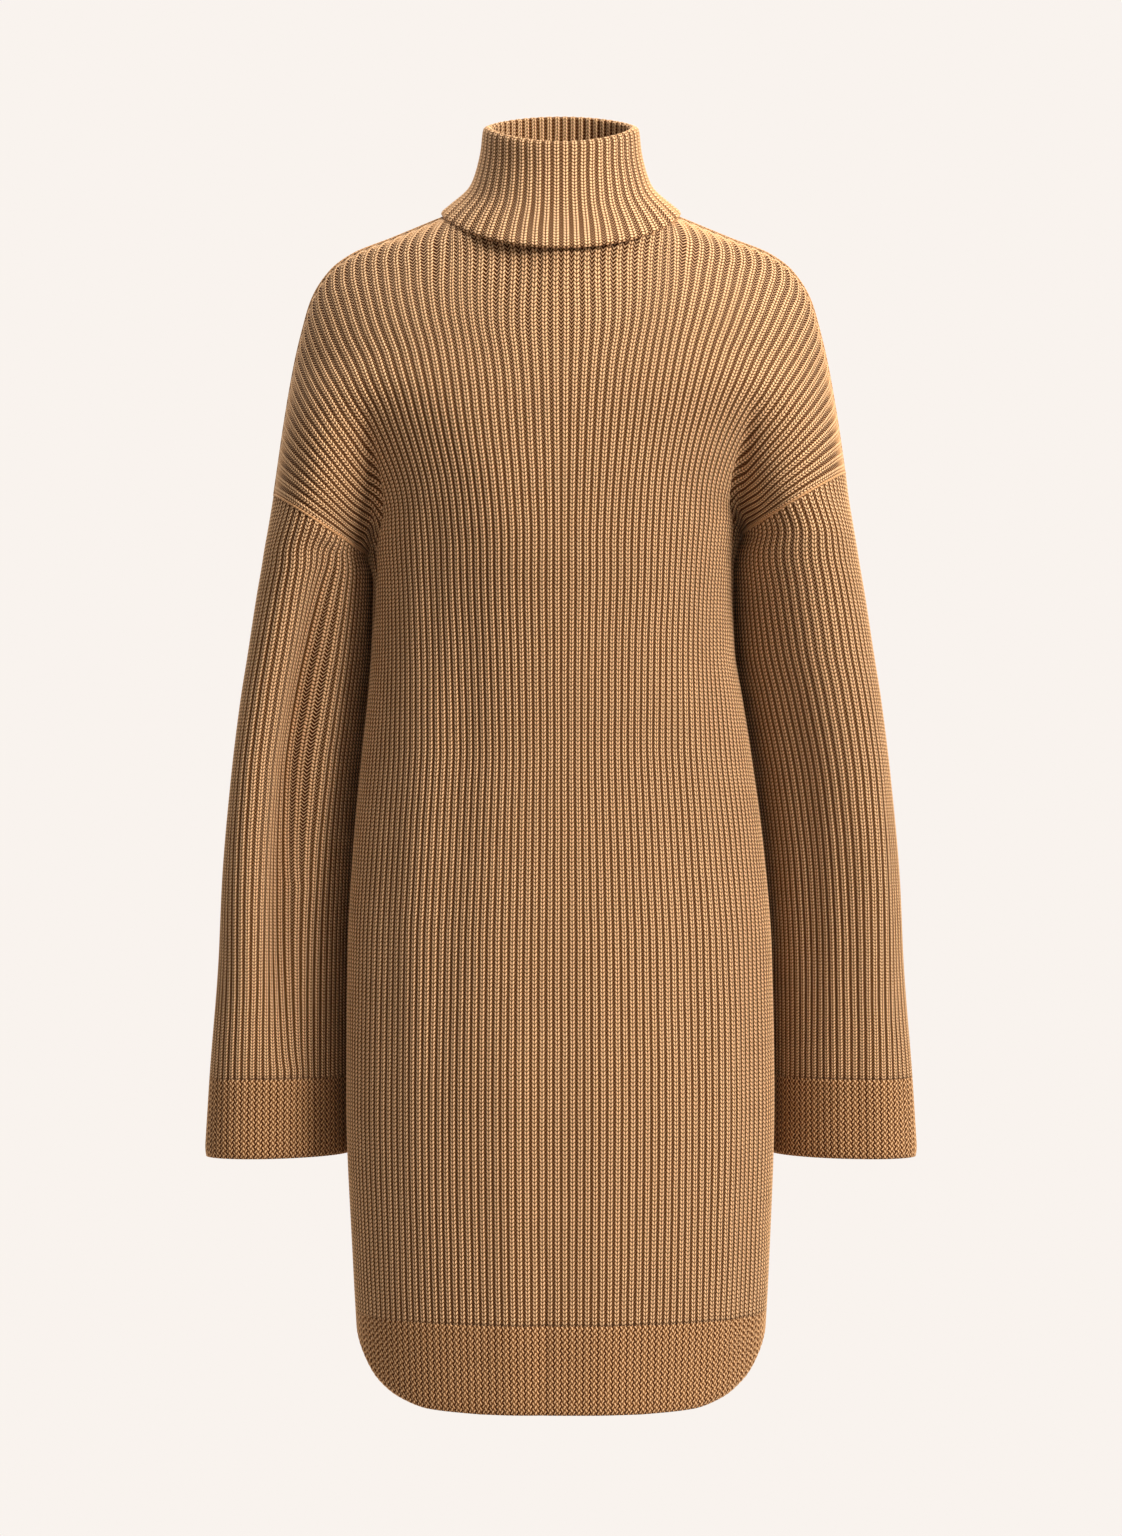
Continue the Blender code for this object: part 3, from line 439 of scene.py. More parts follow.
def armhole_turn(face, row):
    """Share of the way round an armhole, forwards from its top, at which a panel's row ends."""
    return row / 2 if face == "front" else 1 - row / 2


def arm_depth(side, face, x, z):
    """How far an arm's leaning section reaches before or behind the plane of the seams."""
    centre, half = arm_span(side, z)
    sign, depth = -FACES[face], at(ARMS, "depth", z)
    lean, off = at(ARMS, "lean", z) * sign, np.clip(x - centre, -half, half)
    beyond = np.maximum(np.abs(x - centre) - half, 0) / ARM_REACH
    width = half ** 2 - (lean * depth) ** 2
    steep, bend = 1 / depth ** 2 + lean ** 2 / width, lean * off / width
    root = np.maximum(bend ** 2 - steep * (off ** 2 / width - 1), 0.0)
    reach = (bend + np.sqrt(root)) / steep * np.exp(-beyond ** 2)
    return np.maximum(reach - sign * at(ARMS, "y", z), 0.0)


def cloth_depth(side, face, x, z, row):
    """How far the cloth lies before or behind the plane of the side and shoulder seams."""
    whole = at(SHOULDERS, face, z) * rounded(x / at(SHOULDERS, "side", z), at(SHOULDERS, "round", z))
    chest = at(BODY, face, z) * rounded(x / at(BODY, side, z), at(BODY, "round", z))
    centre, half = arm_span(side, z)
    kept = 1 - smooth(row, *ARM_FADE)
    arm = arm_depth(side, face, x, z) * kept
    rise, power = WEB_RISE
    web = rise * np.maximum(z - ARMHOLES[side]["under"][1], 0.0) ** power
    web = web * rounded(np.maximum(x - centre, 0) / half, 2) * kept
    parted = (chest ** UNION + arm ** UNION + web ** UNION + TINY) ** (1 / UNION)
    return whole + (parted - whole) * smooth(z, MERGED, PARTED)


def neck_turn(share):
    """Angle from the middle of the front, at a share of the ribs from there to the side."""
    return np.pi / 2 * (share - NECK_GATHER * np.sin(np.pi * share))


def neck_angles():
    """Angles of the neckline's columns, from the middle of the front or back to the side."""
    return neck_turn(np.linspace(0, 1, QUARTER_NECK + 1))


def neckline(face, angle):
    """Neckline points on one side, from the middle of the front or back to the shoulder seam."""
    depth, low = NECKLINE[face]
    z = NECK_SIDE_Z + (low - NECK_SIDE_Z) * np.cos(angle) ** NECK_DIP
    return np.stack([NECK_SIDE * np.sin(angle), depth * np.cos(angle), z], axis=1)


def soften(line, reach):
    """A line with its corners rounded over a reach of points; its ends stay where they are."""
    before, after = 2 * line[:1] - line[reach:0:-1], 2 * line[-1:] - line[-2:-reach - 2:-1]
    return running_mean(np.concatenate([before, line, after]), reach)


def shares_of_ribs():
    """Share of the way from the middle to the side of each column on one half of a panel."""
    return np.linspace(0, 1, HALF_PANEL + 1)


@functools.cache
def top_edge(side, face):
    """Neckline and shoulder seam of one half of a panel, a point at each column."""
    neck = neckline(face, neck_angles())
    z = np.linspace(NECK_SIDE_Z, ARMHOLES[side]["top"][1], FINE)
    seam = np.stack([at(SHOULDERS, "side", z), 0 * z, z], axis=1)
    seam = divide(seam, np.linspace(0, 1, HALF_PANEL - QUARTER_NECK + 1))
    return np.concatenate([neck, seam[1:]])


def chest_height(face, share):
    """Height on the middle line, at a share of the way from the neckline to underarm level."""
    return NECKLINE[face][1] + (UNDERARM_MIDDLE - NECKLINE[face][1]) * share


@functools.cache
def underarm_line(side):
    """Seen from the front, the line from the middle to the underarm, by share of the ribs."""
    share = shares_of_ribs()
    x_end, z_end = ARMHOLES[side]["under"]
    x = x_end * np.sin(share * np.pi / 2) ** UNDERARM_SPREAD
    dip = UNDERARM_RISE * smooth(share, UNDERARM_DIP)
    z = UNDERARM_MIDDLE + (z_end + UNDERARM_RISE - UNDERARM_MIDDLE) * smooth(share) - dip
    return np.stack([x, z], axis=1)


def rib_shares(row, first):
    """Where the ribs lie along a row: at the top as `first`, lower down nearly evenly."""
    even = shares_of_ribs()
    loose = np.interp(row, LOOSE["row"], LOOSE["loose"])
    spread = even + loose * even * (1 - even)
    return first + (spread - first) * smooth(row, end=EVEN_ROW)


def upper_row(side, face, row):
    """One row of half a panel above the underarm, from the middle to the armhole seam."""
    top, low = top_edge(side, face), underarm_line(side)
    if row == 0:
        return top
    end = armhole(side, [armhole_turn(face, row)])[0][0]
    middle = np.array([0.0, chest_height(face, row)])
    fine, ribs = np.linspace(0, 1, FINE), shares_of_ribs()
    upper = soften(between(fine, ribs, top[:, [0, 2]]), 1 + int(CORNER_REACH * FINE * row))
    lower = between(fine, ribs, low)
    s = fine[:, None]
    first, last = ((1 - row) * upper[i] + row * lower[i] for i in (0, -1))
    flat = (1 - row) * upper + row * lower + (1 - s) * (middle - first) + s * (end[[0, 2]] - last)
    depth = cloth_depth(side, face, flat[:, 0], flat[:, 1], row)
    line = np.stack([flat[:, 0], depth, flat[:, 1]], axis=1)
    line[-1] = np.abs(end) * (1, 1, -1)
    line = divide(line, rib_shares(row, along(top)))
    straight = np.linspace(line[-1 - TAIL], line[-1], TAIL + 1)
    line[-1 - TAIL:] += (straight - line[-1 - TAIL:]) * smooth(row, *TAIL_ROWS)
    return line


def lower_row(side, face, row):
    """One row of half a panel below the underarm, from the middle to the side seam."""
    z = UNDERARM_MIDDLE + (HEM_SEAM - UNDERARM_MIDDLE) * (row - 1)
    return body_row(side, face, z, rib_shares(row, shares_of_ribs()), row)


def body_row(side, face, z, shares, row=2.0):
    """A level half section of the body, or one that still follows the underarm line."""
    turn = np.linspace(0, np.pi / 2, FINE)
    power = 2 / at(BODY, "round", z)
    width, depth = at(BODY, side, z), at(BODY, face, z)
    oval = np.stack([width * np.sin(turn) ** power, depth * np.cos(turn) ** power], axis=1)
    oval = divide(oval, shares) / (width, depth)
    kept = 1 - smooth(row, 1, LEVEL_ROW)
    height = z + (underarm_line(side)[:, 1] - UNDERARM_MIDDLE) * kept
    width, depth = at(BODY, side, height), at(BODY, face, height)
    return np.stack([oval[:, 0] * width, oval[:, 1] * depth, height], axis=1)


def fold_depth(piece, across, row):
    """How deep the folds of a piece press its cloth in."""
    deep = 0.0
    for (top, bottom), (first, last), depth, wide in FOLDS[piece] + CREASES[piece]:
        way = np.clip((row - first) / (last - first), 0, 1)
        centre = top + (bottom - top) * way
        shape = np.exp(-((across - centre) / wide) ** 2)
        deep = deep + depth * shape * np.sin(np.pi * way) ** FOLD_ENDS
    return deep


def both_halves(face, half_row):
    """A row right across the front or back, from a function that gives its half on one side."""
    left, right = (half_row(side) * (ARMHOLES[side]["sign"], FACES[face], 1) for side in ARMHOLES)
    return np.concatenate([left[::-1], right[1:]])


def panel_row(face, row):
    """A whole row of the front or back without its folds: a point at each column."""
    half_row = upper_row if row <= 1 else lower_row
    return both_halves(face, lambda side: half_row(side, face, row))


def panel_across():
    """Place of each column of a panel: -1 at the left side, 0 in the middle and 1 at the right side."""
    return np.linspace(-1, 1, 2 * HALF_PANEL + 1)


def top_facing(side, face):
    """Outward directions along the neckline and the shoulder seam of one half of a panel."""
    neck = neckline_facing(face, neck_angles())
    seam = top_edge(side, face)[QUARTER_NECK:]
    run = unit(np.gradient(seam, axis=0))
    facing = np.stack([-run[:, 2], 0 * run[:, 0], run[:, 0]], axis=1)
    return np.concatenate([neck, facing[1:]])


def neckline_facing(face, angle):
    """Outward directions of the neckline's wall on one side."""
    middle = np.cos(angle)[:, None] ** 2
    beside, before = np.array(NECKLINE_FACING["side"]), np.array(NECKLINE_FACING[face])
    out, up = np.split(beside + (before - beside) * middle, 2, axis=1)
    turn = angle[:, None]
    return unit(np.concatenate([out * np.sin(turn), out * np.cos(turn), up], axis=1))


def neckline_seam(face, angle):
    """Directions across the neckline seam on one side, towards the dress."""
    before, after = np.maximum(angle - TURN_STEP, 0), np.minimum(angle + TURN_STEP, np.pi / 2)
    run = neckline(face, after) - neckline(face, before)
    return unit(np.cross(neckline_facing(face, angle), run))


def sleeve_turns():
    """Share of the way round a sleeve of each of its columns."""
    return np.arange(COLUMNS * SLEEVE_RIBS) / (COLUMNS * SLEEVE_RIBS)


def sleeve_points(side, row, turns, end=CUFF_SEAM):
    """Points round a sleeve at a share of the way from the armhole to a level below it."""
    ring, _, angle = armhole(side, turns)
    level = np.linspace(0, 2 * np.pi, 2 * FINE + 1)
    even = np.interp(turns, along(arm_point(side, end, level)), level)
    height = ring[:, 2] + (end - ring[:, 2]) * row
    return arm_point(side, height, angle + (even - angle) * row)


def sleeve_facing(side, row, turns):
    """Outward directions round a sleeve."""
    up, down = (sleeve_points(side, row + step, turns) for step in (-SLEEVE_STEP, SLEEVE_STEP))
    before = sleeve_points(side, row, (np.asarray(turns) - TURN_STEP) % 1.0)
    after = sleeve_points(side, row, (np.asarray(turns) + TURN_STEP) % 1.0)
    return unit(np.cross(up - down, after - before))


def roll_points(row, quarter, face):
    """One row of the roll neck from the middle of a face to the side, a point at each share."""
    angle = np.pi / 2 * (quarter - at(ROLL, "gather", row) * np.sin(np.pi * quarter))
    dip = np.cos(angle) ** NECK_DIP
    side, side_z = at(ROLL, "side", row), at(ROLL, "side_z", row)
    height = side_z + (at(ROLL, face + "_z", row) - side_z) * dip
    return np.stack([side * np.sin(angle), at(ROLL, face, row) * np.cos(angle), height], axis=1)


def ring_of(quarter_points):
    """A closed ring, from a function that gives one quarter of it for the front or the back."""
    front, back = quarter_points("front"), quarter_points("back")
    right = np.concatenate([front * (1, -1, 1), back[-2::-1]])
    left = right[-2:0:-1] * (-1, 1, 1)
    return np.concatenate([right, left])


def roll_row(row, quarter):
    """One whole row of the roll neck."""
    return ring_of(lambda face: roll_points(row, quarter, face))


def ring_facing(before, after, ring):
    """Outward directions on a closed ring, from the rings before and after it."""
    run = np.roll(ring, -1, axis=0) - np.roll(ring, 1, axis=0)
    return unit(np.cross(after - before, run))


def before_seam(points, face):
    """Keep a front or back piece on its own side of the side and shoulder seams."""
    if face == "front":
        return np.minimum(points, (np.inf, -SEAM, np.inf))
    return np.maximum(points, (-np.inf, SEAM, -np.inf))


def panel_end(face, side, row):
    """Point and facing at the end of a panel's row: on the armhole seam or on the side seam."""
    outward = (ARMHOLES[side]["sign"], 1, 1)
    if row > 1:
        half = lower_row(side, face, row)[-1]
        return half * outward, np.array([1.0, 0.0, 0.0]) * outward
    point, facing, towards_body = (value[0] for value in armhole_edge(side, [armhole_turn(face, row)]))
    return (point + towards_body * SEAM) * outward, facing * outward


def top_row_seam(face):
    """How far the points of a panel's top row step back from the neckline seam."""
    shift = np.zeros((HALF_PANEL + 1, 3))
    shift[:QUARTER_NECK + 1] = neckline_seam(face, neck_angles()) * SEAM
    return both_halves(face, lambda side: shift)


def armhole_edge(side, turns):
    """Points, facings and seam directions round an armhole."""
    turns = np.asarray(turns)
    points, facing, _ = armhole(side, turns)
    run = armhole(side, (turns + TURN_STEP) % 1.0)[0] - armhole(side, (turns - TURN_STEP) % 1.0)[0]
    return points, facing, unit(np.cross(run, facing))


def openness(grid, closed):
    """How far the ribs are pulled apart at each point of a grid, from 0 to 1."""
    half = COLUMNS // 2
    if closed:
        wide = np.linalg.norm(np.roll(grid, -half, axis=1) - np.roll(grid, half, axis=1), axis=2)
    else:
        wide = np.linalg.norm(grid[:, 2 * half:] - grid[:, :-2 * half], axis=2)
        wide = np.pad(wide, ((0, 0), (half, half)), mode="edge")
    return np.clip((wide - CLOSED_PITCH) / (OPEN_PITCH - CLOSED_PITCH), 0, 1)


def ribbed(grid, facing, height, pulled):
    """The outer points of a grid: its grooves under the surface, and the crests of its ribs on it."""
    place = np.arange(grid.shape[1]) % COLUMNS / COLUMNS
    groove = (place == 0) * 1.0
    flank = (place != 0) * (place != 0.5)
    under = groove + flank * (FLANK[0] + (FLANK[1] - FLANK[0]) * pulled)
    return grid - facing * (under * height * (1 - FLATTER * pulled))[..., None]


def inner_points(grid, facing, sizes):
    """The inner points of a grid, under the grooves by the thickness of the cloth."""
    return grid - facing * (sizes["rib"] + sizes["wall"])


def grid_facing(face, grid):
    """Outward directions on a grid whose rows run down the front or back."""
    return unit(np.cross(np.gradient(grid, axis=0), np.gradient(grid, axis=1))) * -FACES[face]


def course_count(grid, pitch):
    """How many courses of stitches lie between the lowest row and each point of a grid."""
    step = np.linalg.norm(np.diff(grid, axis=0), axis=2) / ((pitch[1:] + pitch[:-1]) / 2)[:, None]
    return np.concatenate([np.cumsum(step[::-1], axis=0)[::-1], 0 * step[:1]])


def round_edge(outer, inner):
    """Draw the last rows of a shell together, so that its free edge is round."""
    for place, share in enumerate(EDGE_ROUND):
        shift = (inner[-1 - place] - outer[-1 - place]) * share
        outer[-1 - place] += shift
        inner[-1 - place] -= shift


def join(long, short):
    """Faces between two lines of (number, corner, place), of which one may skip some numbers."""
    faces, i, j = [], 0, 0
    while i < len(long) - 1 or j < len(short) - 1:
        next_long = long[i + 1][0] if i < len(long) - 1 else np.inf
        next_short = short[j + 1][0] if j < len(short) - 1 else np.inf
        face = [long[i], short[j]]
        if next_short <= next_long:
            j += 1
            face.append(short[j])
        if next_long <= next_short:
            i += 1
            face.append(long[i])
        faces.append([corner[1:] for corner in face])
    return faces


class Side:
    """One side of a shell: a grid of points, some of its rows and columns, and its knit's count."""

    def __init__(self, points, rows, columns, wide, count, first, closed):
        self.rows, self.columns = np.array(rows), np.array(list(columns) + ([wide] if closed else []))
        self.points = points[np.ix_(rows, columns)].reshape(-1, 3)
        i, j = np.meshgrid(np.arange(len(rows)), np.arange(len(self.columns)), indexing="ij")
        self.corner = first + i * len(columns) + j % len(columns)
        self.place = np.stack([self.columns[j], count[self.rows[i], self.columns[j] % wide]], axis=-1)

    def quads(self, turned):
        """Its faces, and the knit's count at their corners."""
        corners, places = [], []
        order = [(0, 0), (1, 0), (1, 1), (0, 1)][::-1 if turned else 1]
        high, wide = self.corner.shape
        for down, along_row in order:
            part = np.s_[down:high - 1 + down, along_row:wide - 1 + along_row]
            corners.append(self.corner[part].ravel())
            places.append(self.place[part].reshape(-1, 2))
        return np.stack(corners, axis=1), np.stack(places, axis=1)

    def line(self, row=None, column=None):
        """One of its edges: the column or row number, the corner and the place of each point."""
        part = np.s_[row, :] if column is None else np.s_[:, column]
        numbers = self.columns if column is None else self.rows
        return list(zip(numbers.tolist(), self.corner[part].tolist(), self.place[part].tolist()))


def shell(name, outer, inner, pitch, material, closed=False, pull=1.0):
    """A closed shell from grids of outer and inner points, its knit counted in its UV map."""
    high, wide = outer.shape[:2]
    count = course_count(outer, pitch)
    some_rows = sorted(set(range(0, high, 2)) | {high - 1})
    some_columns = sorted(set(range(0, wide, COLUMNS)) | (set() if closed else {wide - 1}))
    outside = Side(outer, range(high), range(wide), wide, count, 0, closed)
    inside = Side(inner, some_rows, some_columns, wide, count, high * wide, closed)
    faces, places = [], []
    for side, turned in ((outside, False), (inside, True)):
        corners, at_corners = side.quads(turned)
        faces += corners.tolist()
        places.append(at_corners.reshape(-1, 2))
    edges = [(outside.line(row=row), inside.line(row=row)) for row in (0, -1)]
    if not closed:
        edges += [(outside.line(column=column), inside.line(column=column)) for column in (0, -1)]
    for long, short in edges:
        for face in join(long, short):
            faces.append([corner for corner, _ in face])
            places.append(np.array([place for _, place in face], dtype=float))
    mesh = bpy.data.meshes.new(name)
    mesh.from_pydata((np.concatenate([outside.points, inside.points]) * MM).tolist(), [], faces)
    counted = np.concatenate(places) / (COLUMNS, 1)
    mesh.uv_layers.new(name="knit").data.foreach_set("uv", counted.astype(np.float32).ravel())
    pulled = openness(outer, closed) * pull
    values = np.concatenate([pulled.ravel(), pulled[np.ix_(some_rows, some_columns)].ravel()])
    mesh.attributes.new("pulled", "FLOAT", "POINT").data.foreach_set("value", values.astype(np.float32))
    return finished(name, mesh, material)


def finished(name, mesh, material):
    """A mesh as a piece of the dress, smooth, with its faces turned outward."""
    shape = bmesh.new()
    shape.from_mesh(mesh)
    bmesh.ops.recalc_face_normals(shape, faces=shape.faces)
    shape.to_mesh(mesh)
    shape.free()
    mesh.materials.append(material)
    mesh.shade_smooth()
    piece = bpy.data.objects.new(name, mesh)
    bpy.context.scene.collection.objects.link(piece)
    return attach(piece, BODY_NAME)


def ridge(name, path, facing, across, size, material, closed):
    """A raised, rounded line of stitches along a seam, its size given as half width and half height."""
    width, height = size
    turn = np.linspace(0, 2 * np.pi, RIDGE_SIDES, endpoint=False)
    rings = [path + across * (width * math.cos(a)) + facing * (height * math.sin(a)) for a in turn]
    points = np.stack(rings, axis=1)
    length = lengths(path)
    count = len(path)
    faces, places = [], []
    for i in range(count if closed else count - 1):
        for j in range(RIDGE_SIDES):
            here, there, beside = i * RIDGE_SIDES, (i + 1) % count * RIDGE_SIDES, (j + 1) % RIDGE_SIDES
            faces.append([here + j, there + j, there + beside, here + beside])
            after = length[i + 1] if i + 1 < count else length[i] + length[1]
            for run, round_it in ((length[i], j), (after, j), (after, j + 1), (length[i], j + 1)):
                places.append((round_it / RIDGE_SIDES, run / LINK_STITCH))
    if not closed:
        for end in (0, count - 1):
            faces.append([end * RIDGE_SIDES + j for j in range(RIDGE_SIDES)])
            places += [(j / RIDGE_SIDES, length[end] / LINK_STITCH) for j in range(RIDGE_SIDES)]
    mesh = bpy.data.meshes.new(name)
    mesh.from_pydata((points.reshape(-1, 3) * MM).tolist(), [], faces)
    mesh.uv_layers.new(name="knit").data.foreach_set("uv", np.array(places, dtype=np.float32).ravel())
    return finished(name, mesh, material)


def panel_rows():
    """The rows of a panel: 0 at its top seams, 1 at the underarms and 2 at the hem seam."""
    return np.concatenate([np.linspace(0, 1, UPPER_ROWS), np.linspace(1, 2, LOWER_ROWS)[1:]])


def run_smoothly(grid, rows):
    """Slide the points of a panel along its rows, so that no rib turns sharply at the underarm."""
    x = grid[..., 0]
    mean = running_mean(np.pad(x, ((SLIDE, SLIDE), (0, 0)), mode="edge"), SLIDE)
    share = smooth(rows, *SLIDE_ROWS[:2]) * (1 - smooth(rows, *SLIDE_ROWS[2:]))
    kept = smooth(np.abs(panel_across()), *SLIDE_COLUMNS)
    new = x + (mean - x) * share[:, None] * (1 - kept)
    return np.stack([between(places, line[:, 0], line) for places, line in zip(new, grid)])


def build_panel(face, material, sizes):
    """The front or the back, from the neckline and shoulder seams to the hem seam."""
    rows = panel_rows()
    grid = np.stack([panel_row(face, row) for row in rows])
    step = panel_row(face, 1.0) - panel_row(face, BELOW_UNDERARM)
    below = rows > 1
    grid[below] += step * (1 - smooth((rows[below] - 1) / SIDE_BLEND))[:, None, None]
    grid = run_smoothly(grid, rows)
    facing = grid_facing(face, grid)
    top = both_halves(face, lambda side: top_facing(side, face))
    for i, row in enumerate(rows):
        facing[i] = unit(top + (facing[i] - top) * smooth(row, end=TOP_BLEND))
        grid[i] = grid[i] - facing[i] * fold_depth(face, panel_across(), row)[:, None]
    facing[..., 2] *= (1 - smooth((rows - 2 + LAST_ROWS) / LAST_ROWS))[:, None]
    facing = unit(facing)
    grid[0] += top_row_seam(face)
    reach = np.linspace(0, 1, TAIL + 1)[1:, None]
    for i, row in enumerate(rows):
        for side, tail in (("left", slice(TAIL - 1, None, -1)), ("right", slice(-TAIL, None))):
            end, end_facing = panel_end(face, side, row)
            facing[i][tail] = unit(facing[i][tail] * (1 - smooth(reach)) + end_facing * smooth(reach))
            if row <= 1:
                grid[i][0 if side == "left" else -1] = end
    outer = before_seam(ribbed(grid, facing, sizes["rib"], openness(grid, False)), face)
    inner = before_seam(inner_points(grid, facing, sizes), face)
    return shell(face + "_knit", outer, inner, at(COURSES, "pitch", rows), material)


def hem_row(side, face, row):
    """One row of half a hem band, at a share of the way from its seam to its lower edge."""
    shares = shares_of_ribs()
    x, y, seam = body_row(side, face, HEM_SEAM, shares).T
    height = seam + (at(HEM_EDGE, "z", (1 - shares) * HEM_HALF) - seam) * row
    wider, deeper = (at(BODY, name, height) / at(BODY, name, HEM_SEAM) for name in (side, face))
    return np.stack([x * wider, y * deeper, height], axis=1)


def build_hem(face, material, sizes):
    """The band along the hem of the front or back, with its rounded corners."""
    rows = np.linspace(0, 1, HEM_ROWS)
    grid = np.stack([both_halves(face, lambda side: hem_row(side, face, row)) for row in rows])
    facing = unit(grid_facing(face, grid) * (1, 1, 0))
    row = 2 + (HEM_SEAM - grid[..., 2]) / (UNDERARM_MIDDLE - HEM_SEAM)
    grid -= facing * fold_depth(face, panel_across(), row)[..., None]
    facing[:, 0], facing[:, -1] = (-1, 0, 0), (1, 0, 0)
    outer = ribbed(grid, facing, sizes["band_rib"], 0)
    inner = inner_points(grid, facing, sizes)
    round_edge(outer, inner)
    outer, inner = before_seam(outer, face), before_seam(inner, face)
    return shell("hem_" + face + "_knit", outer, inner, np.full(HEM_ROWS, BAND_COURSE), material)


def build_sleeve(side, material, sizes):
    """A sleeve, from its sloping armhole seam to the seam of its cuff."""
    name, outward = "sleeve_" + side, (ARMHOLES[side]["sign"], 1, 1)
    turns = sleeve_turns()
    rows = np.concatenate([
        np.linspace(0, SLEEVE_TOP, SLEEVE_TOP_ROWS), np.linspace(SLEEVE_TOP, 1, SLEEVE_ROWS)[1:]])
    _, edge_facing, towards_body = armhole_edge(side, turns)
    grid, facings = [], []
    for row in rows:
        line, facing = sleeve_points(side, row, turns), sleeve_facing(side, row, turns)
        facing = unit(edge_facing + (facing - edge_facing) * smooth(row, end=SLEEVE_TOP))
        if row == 0:
            line = line - towards_body * SEAM
        if row == 1:
            facing = unit(facing * (1, 1, 0))
        grid.append(line - facing * fold_depth(name, turns, row)[:, None])
        facings.append(facing)
    grid, facing = np.stack(grid), np.stack(facings)
    outer = ribbed(grid, facing, sizes["rib"], openness(grid, True)) * outward
    inner = inner_points(grid, facing, sizes) * outward
    return shell(name + "_knit", outer, inner, at(SLEEVE_COURSES, "pitch", rows), material, closed=True)


def build_cuff(side, material, sizes):
    """The band at the end of a sleeve."""
    outward = (ARMHOLES[side]["sign"], 1, 1)
    turns = sleeve_turns()
    facing = unit(sleeve_facing(side, 1.0, turns) * (1, 1, 0))
    length = armhole(side, turns)[0][:, 2] - CUFF_SEAM
    grid = []
    for end in np.linspace(CUFF_SEAM, CUFF_EDGE, CUFF_ROWS):
        deep = fold_depth("sleeve_" + side, turns, 1 + (CUFF_SEAM - end) / length)
        grid.append(sleeve_points(side, 1.0, turns, end) - facing * deep[:, None])
    grid = np.stack(grid)
    outer = ribbed(grid, facing, sizes["band_rib"], 0) * outward
    inner = inner_points(grid, facing, sizes) * outward
    round_edge(outer, inner)
    pitch = np.full(CUFF_ROWS, CUFF_COURSE)
    return shell("cuff_" + side + "_knit", outer, inner, pitch, material, closed=True)


def build_roll_neck(material, sizes):
    """The roll neck: one wall up from the neckline, over the fold and down to its free edge."""
    quarter, angle = np.linspace(0, 1, QUARTER_NECK + 1), neck_angles()
    base = ring_of(lambda face: neckline(face, angle) - neckline_seam(face, angle) * SEAM)
    base_facing = ring_of(lambda face: neckline_facing(face, angle))
    rows = np.concatenate(([0.0], np.linspace(ROLL["row"][0], ROLL["row"][-1], ROLL_ROWS)))
    grid, facings = [base], [base_facing]
    for row in rows[1:]:
        before, line, after = (roll_row(row + step, quarter) for step in (-ROLL_STEP, 0, ROLL_STEP))
        grid.append(line)
        facings.append(ring_facing(before, after, line))
    grid, facing = np.stack(grid), np.stack(facings)
    over = np.exp(-((rows - FOLD_ROW) / FOLD_REACH) ** 2)[:, None]
    shown = ribbed(grid, facing, sizes["rib"] * (1 - FOLD_SMOOTH * over), openness(grid, True))
    hidden = inner_points(grid, facing, sizes)
    hidden[0] = base
    shown[0] = base - base_facing * sizes["wall"]
    round_edge(shown, hidden)
    pitch = np.full(len(grid), ROLL_COURSE)
    return shell("collar_knit", shown, hidden, pitch, material, closed=True, pull=ROLL_PULL)


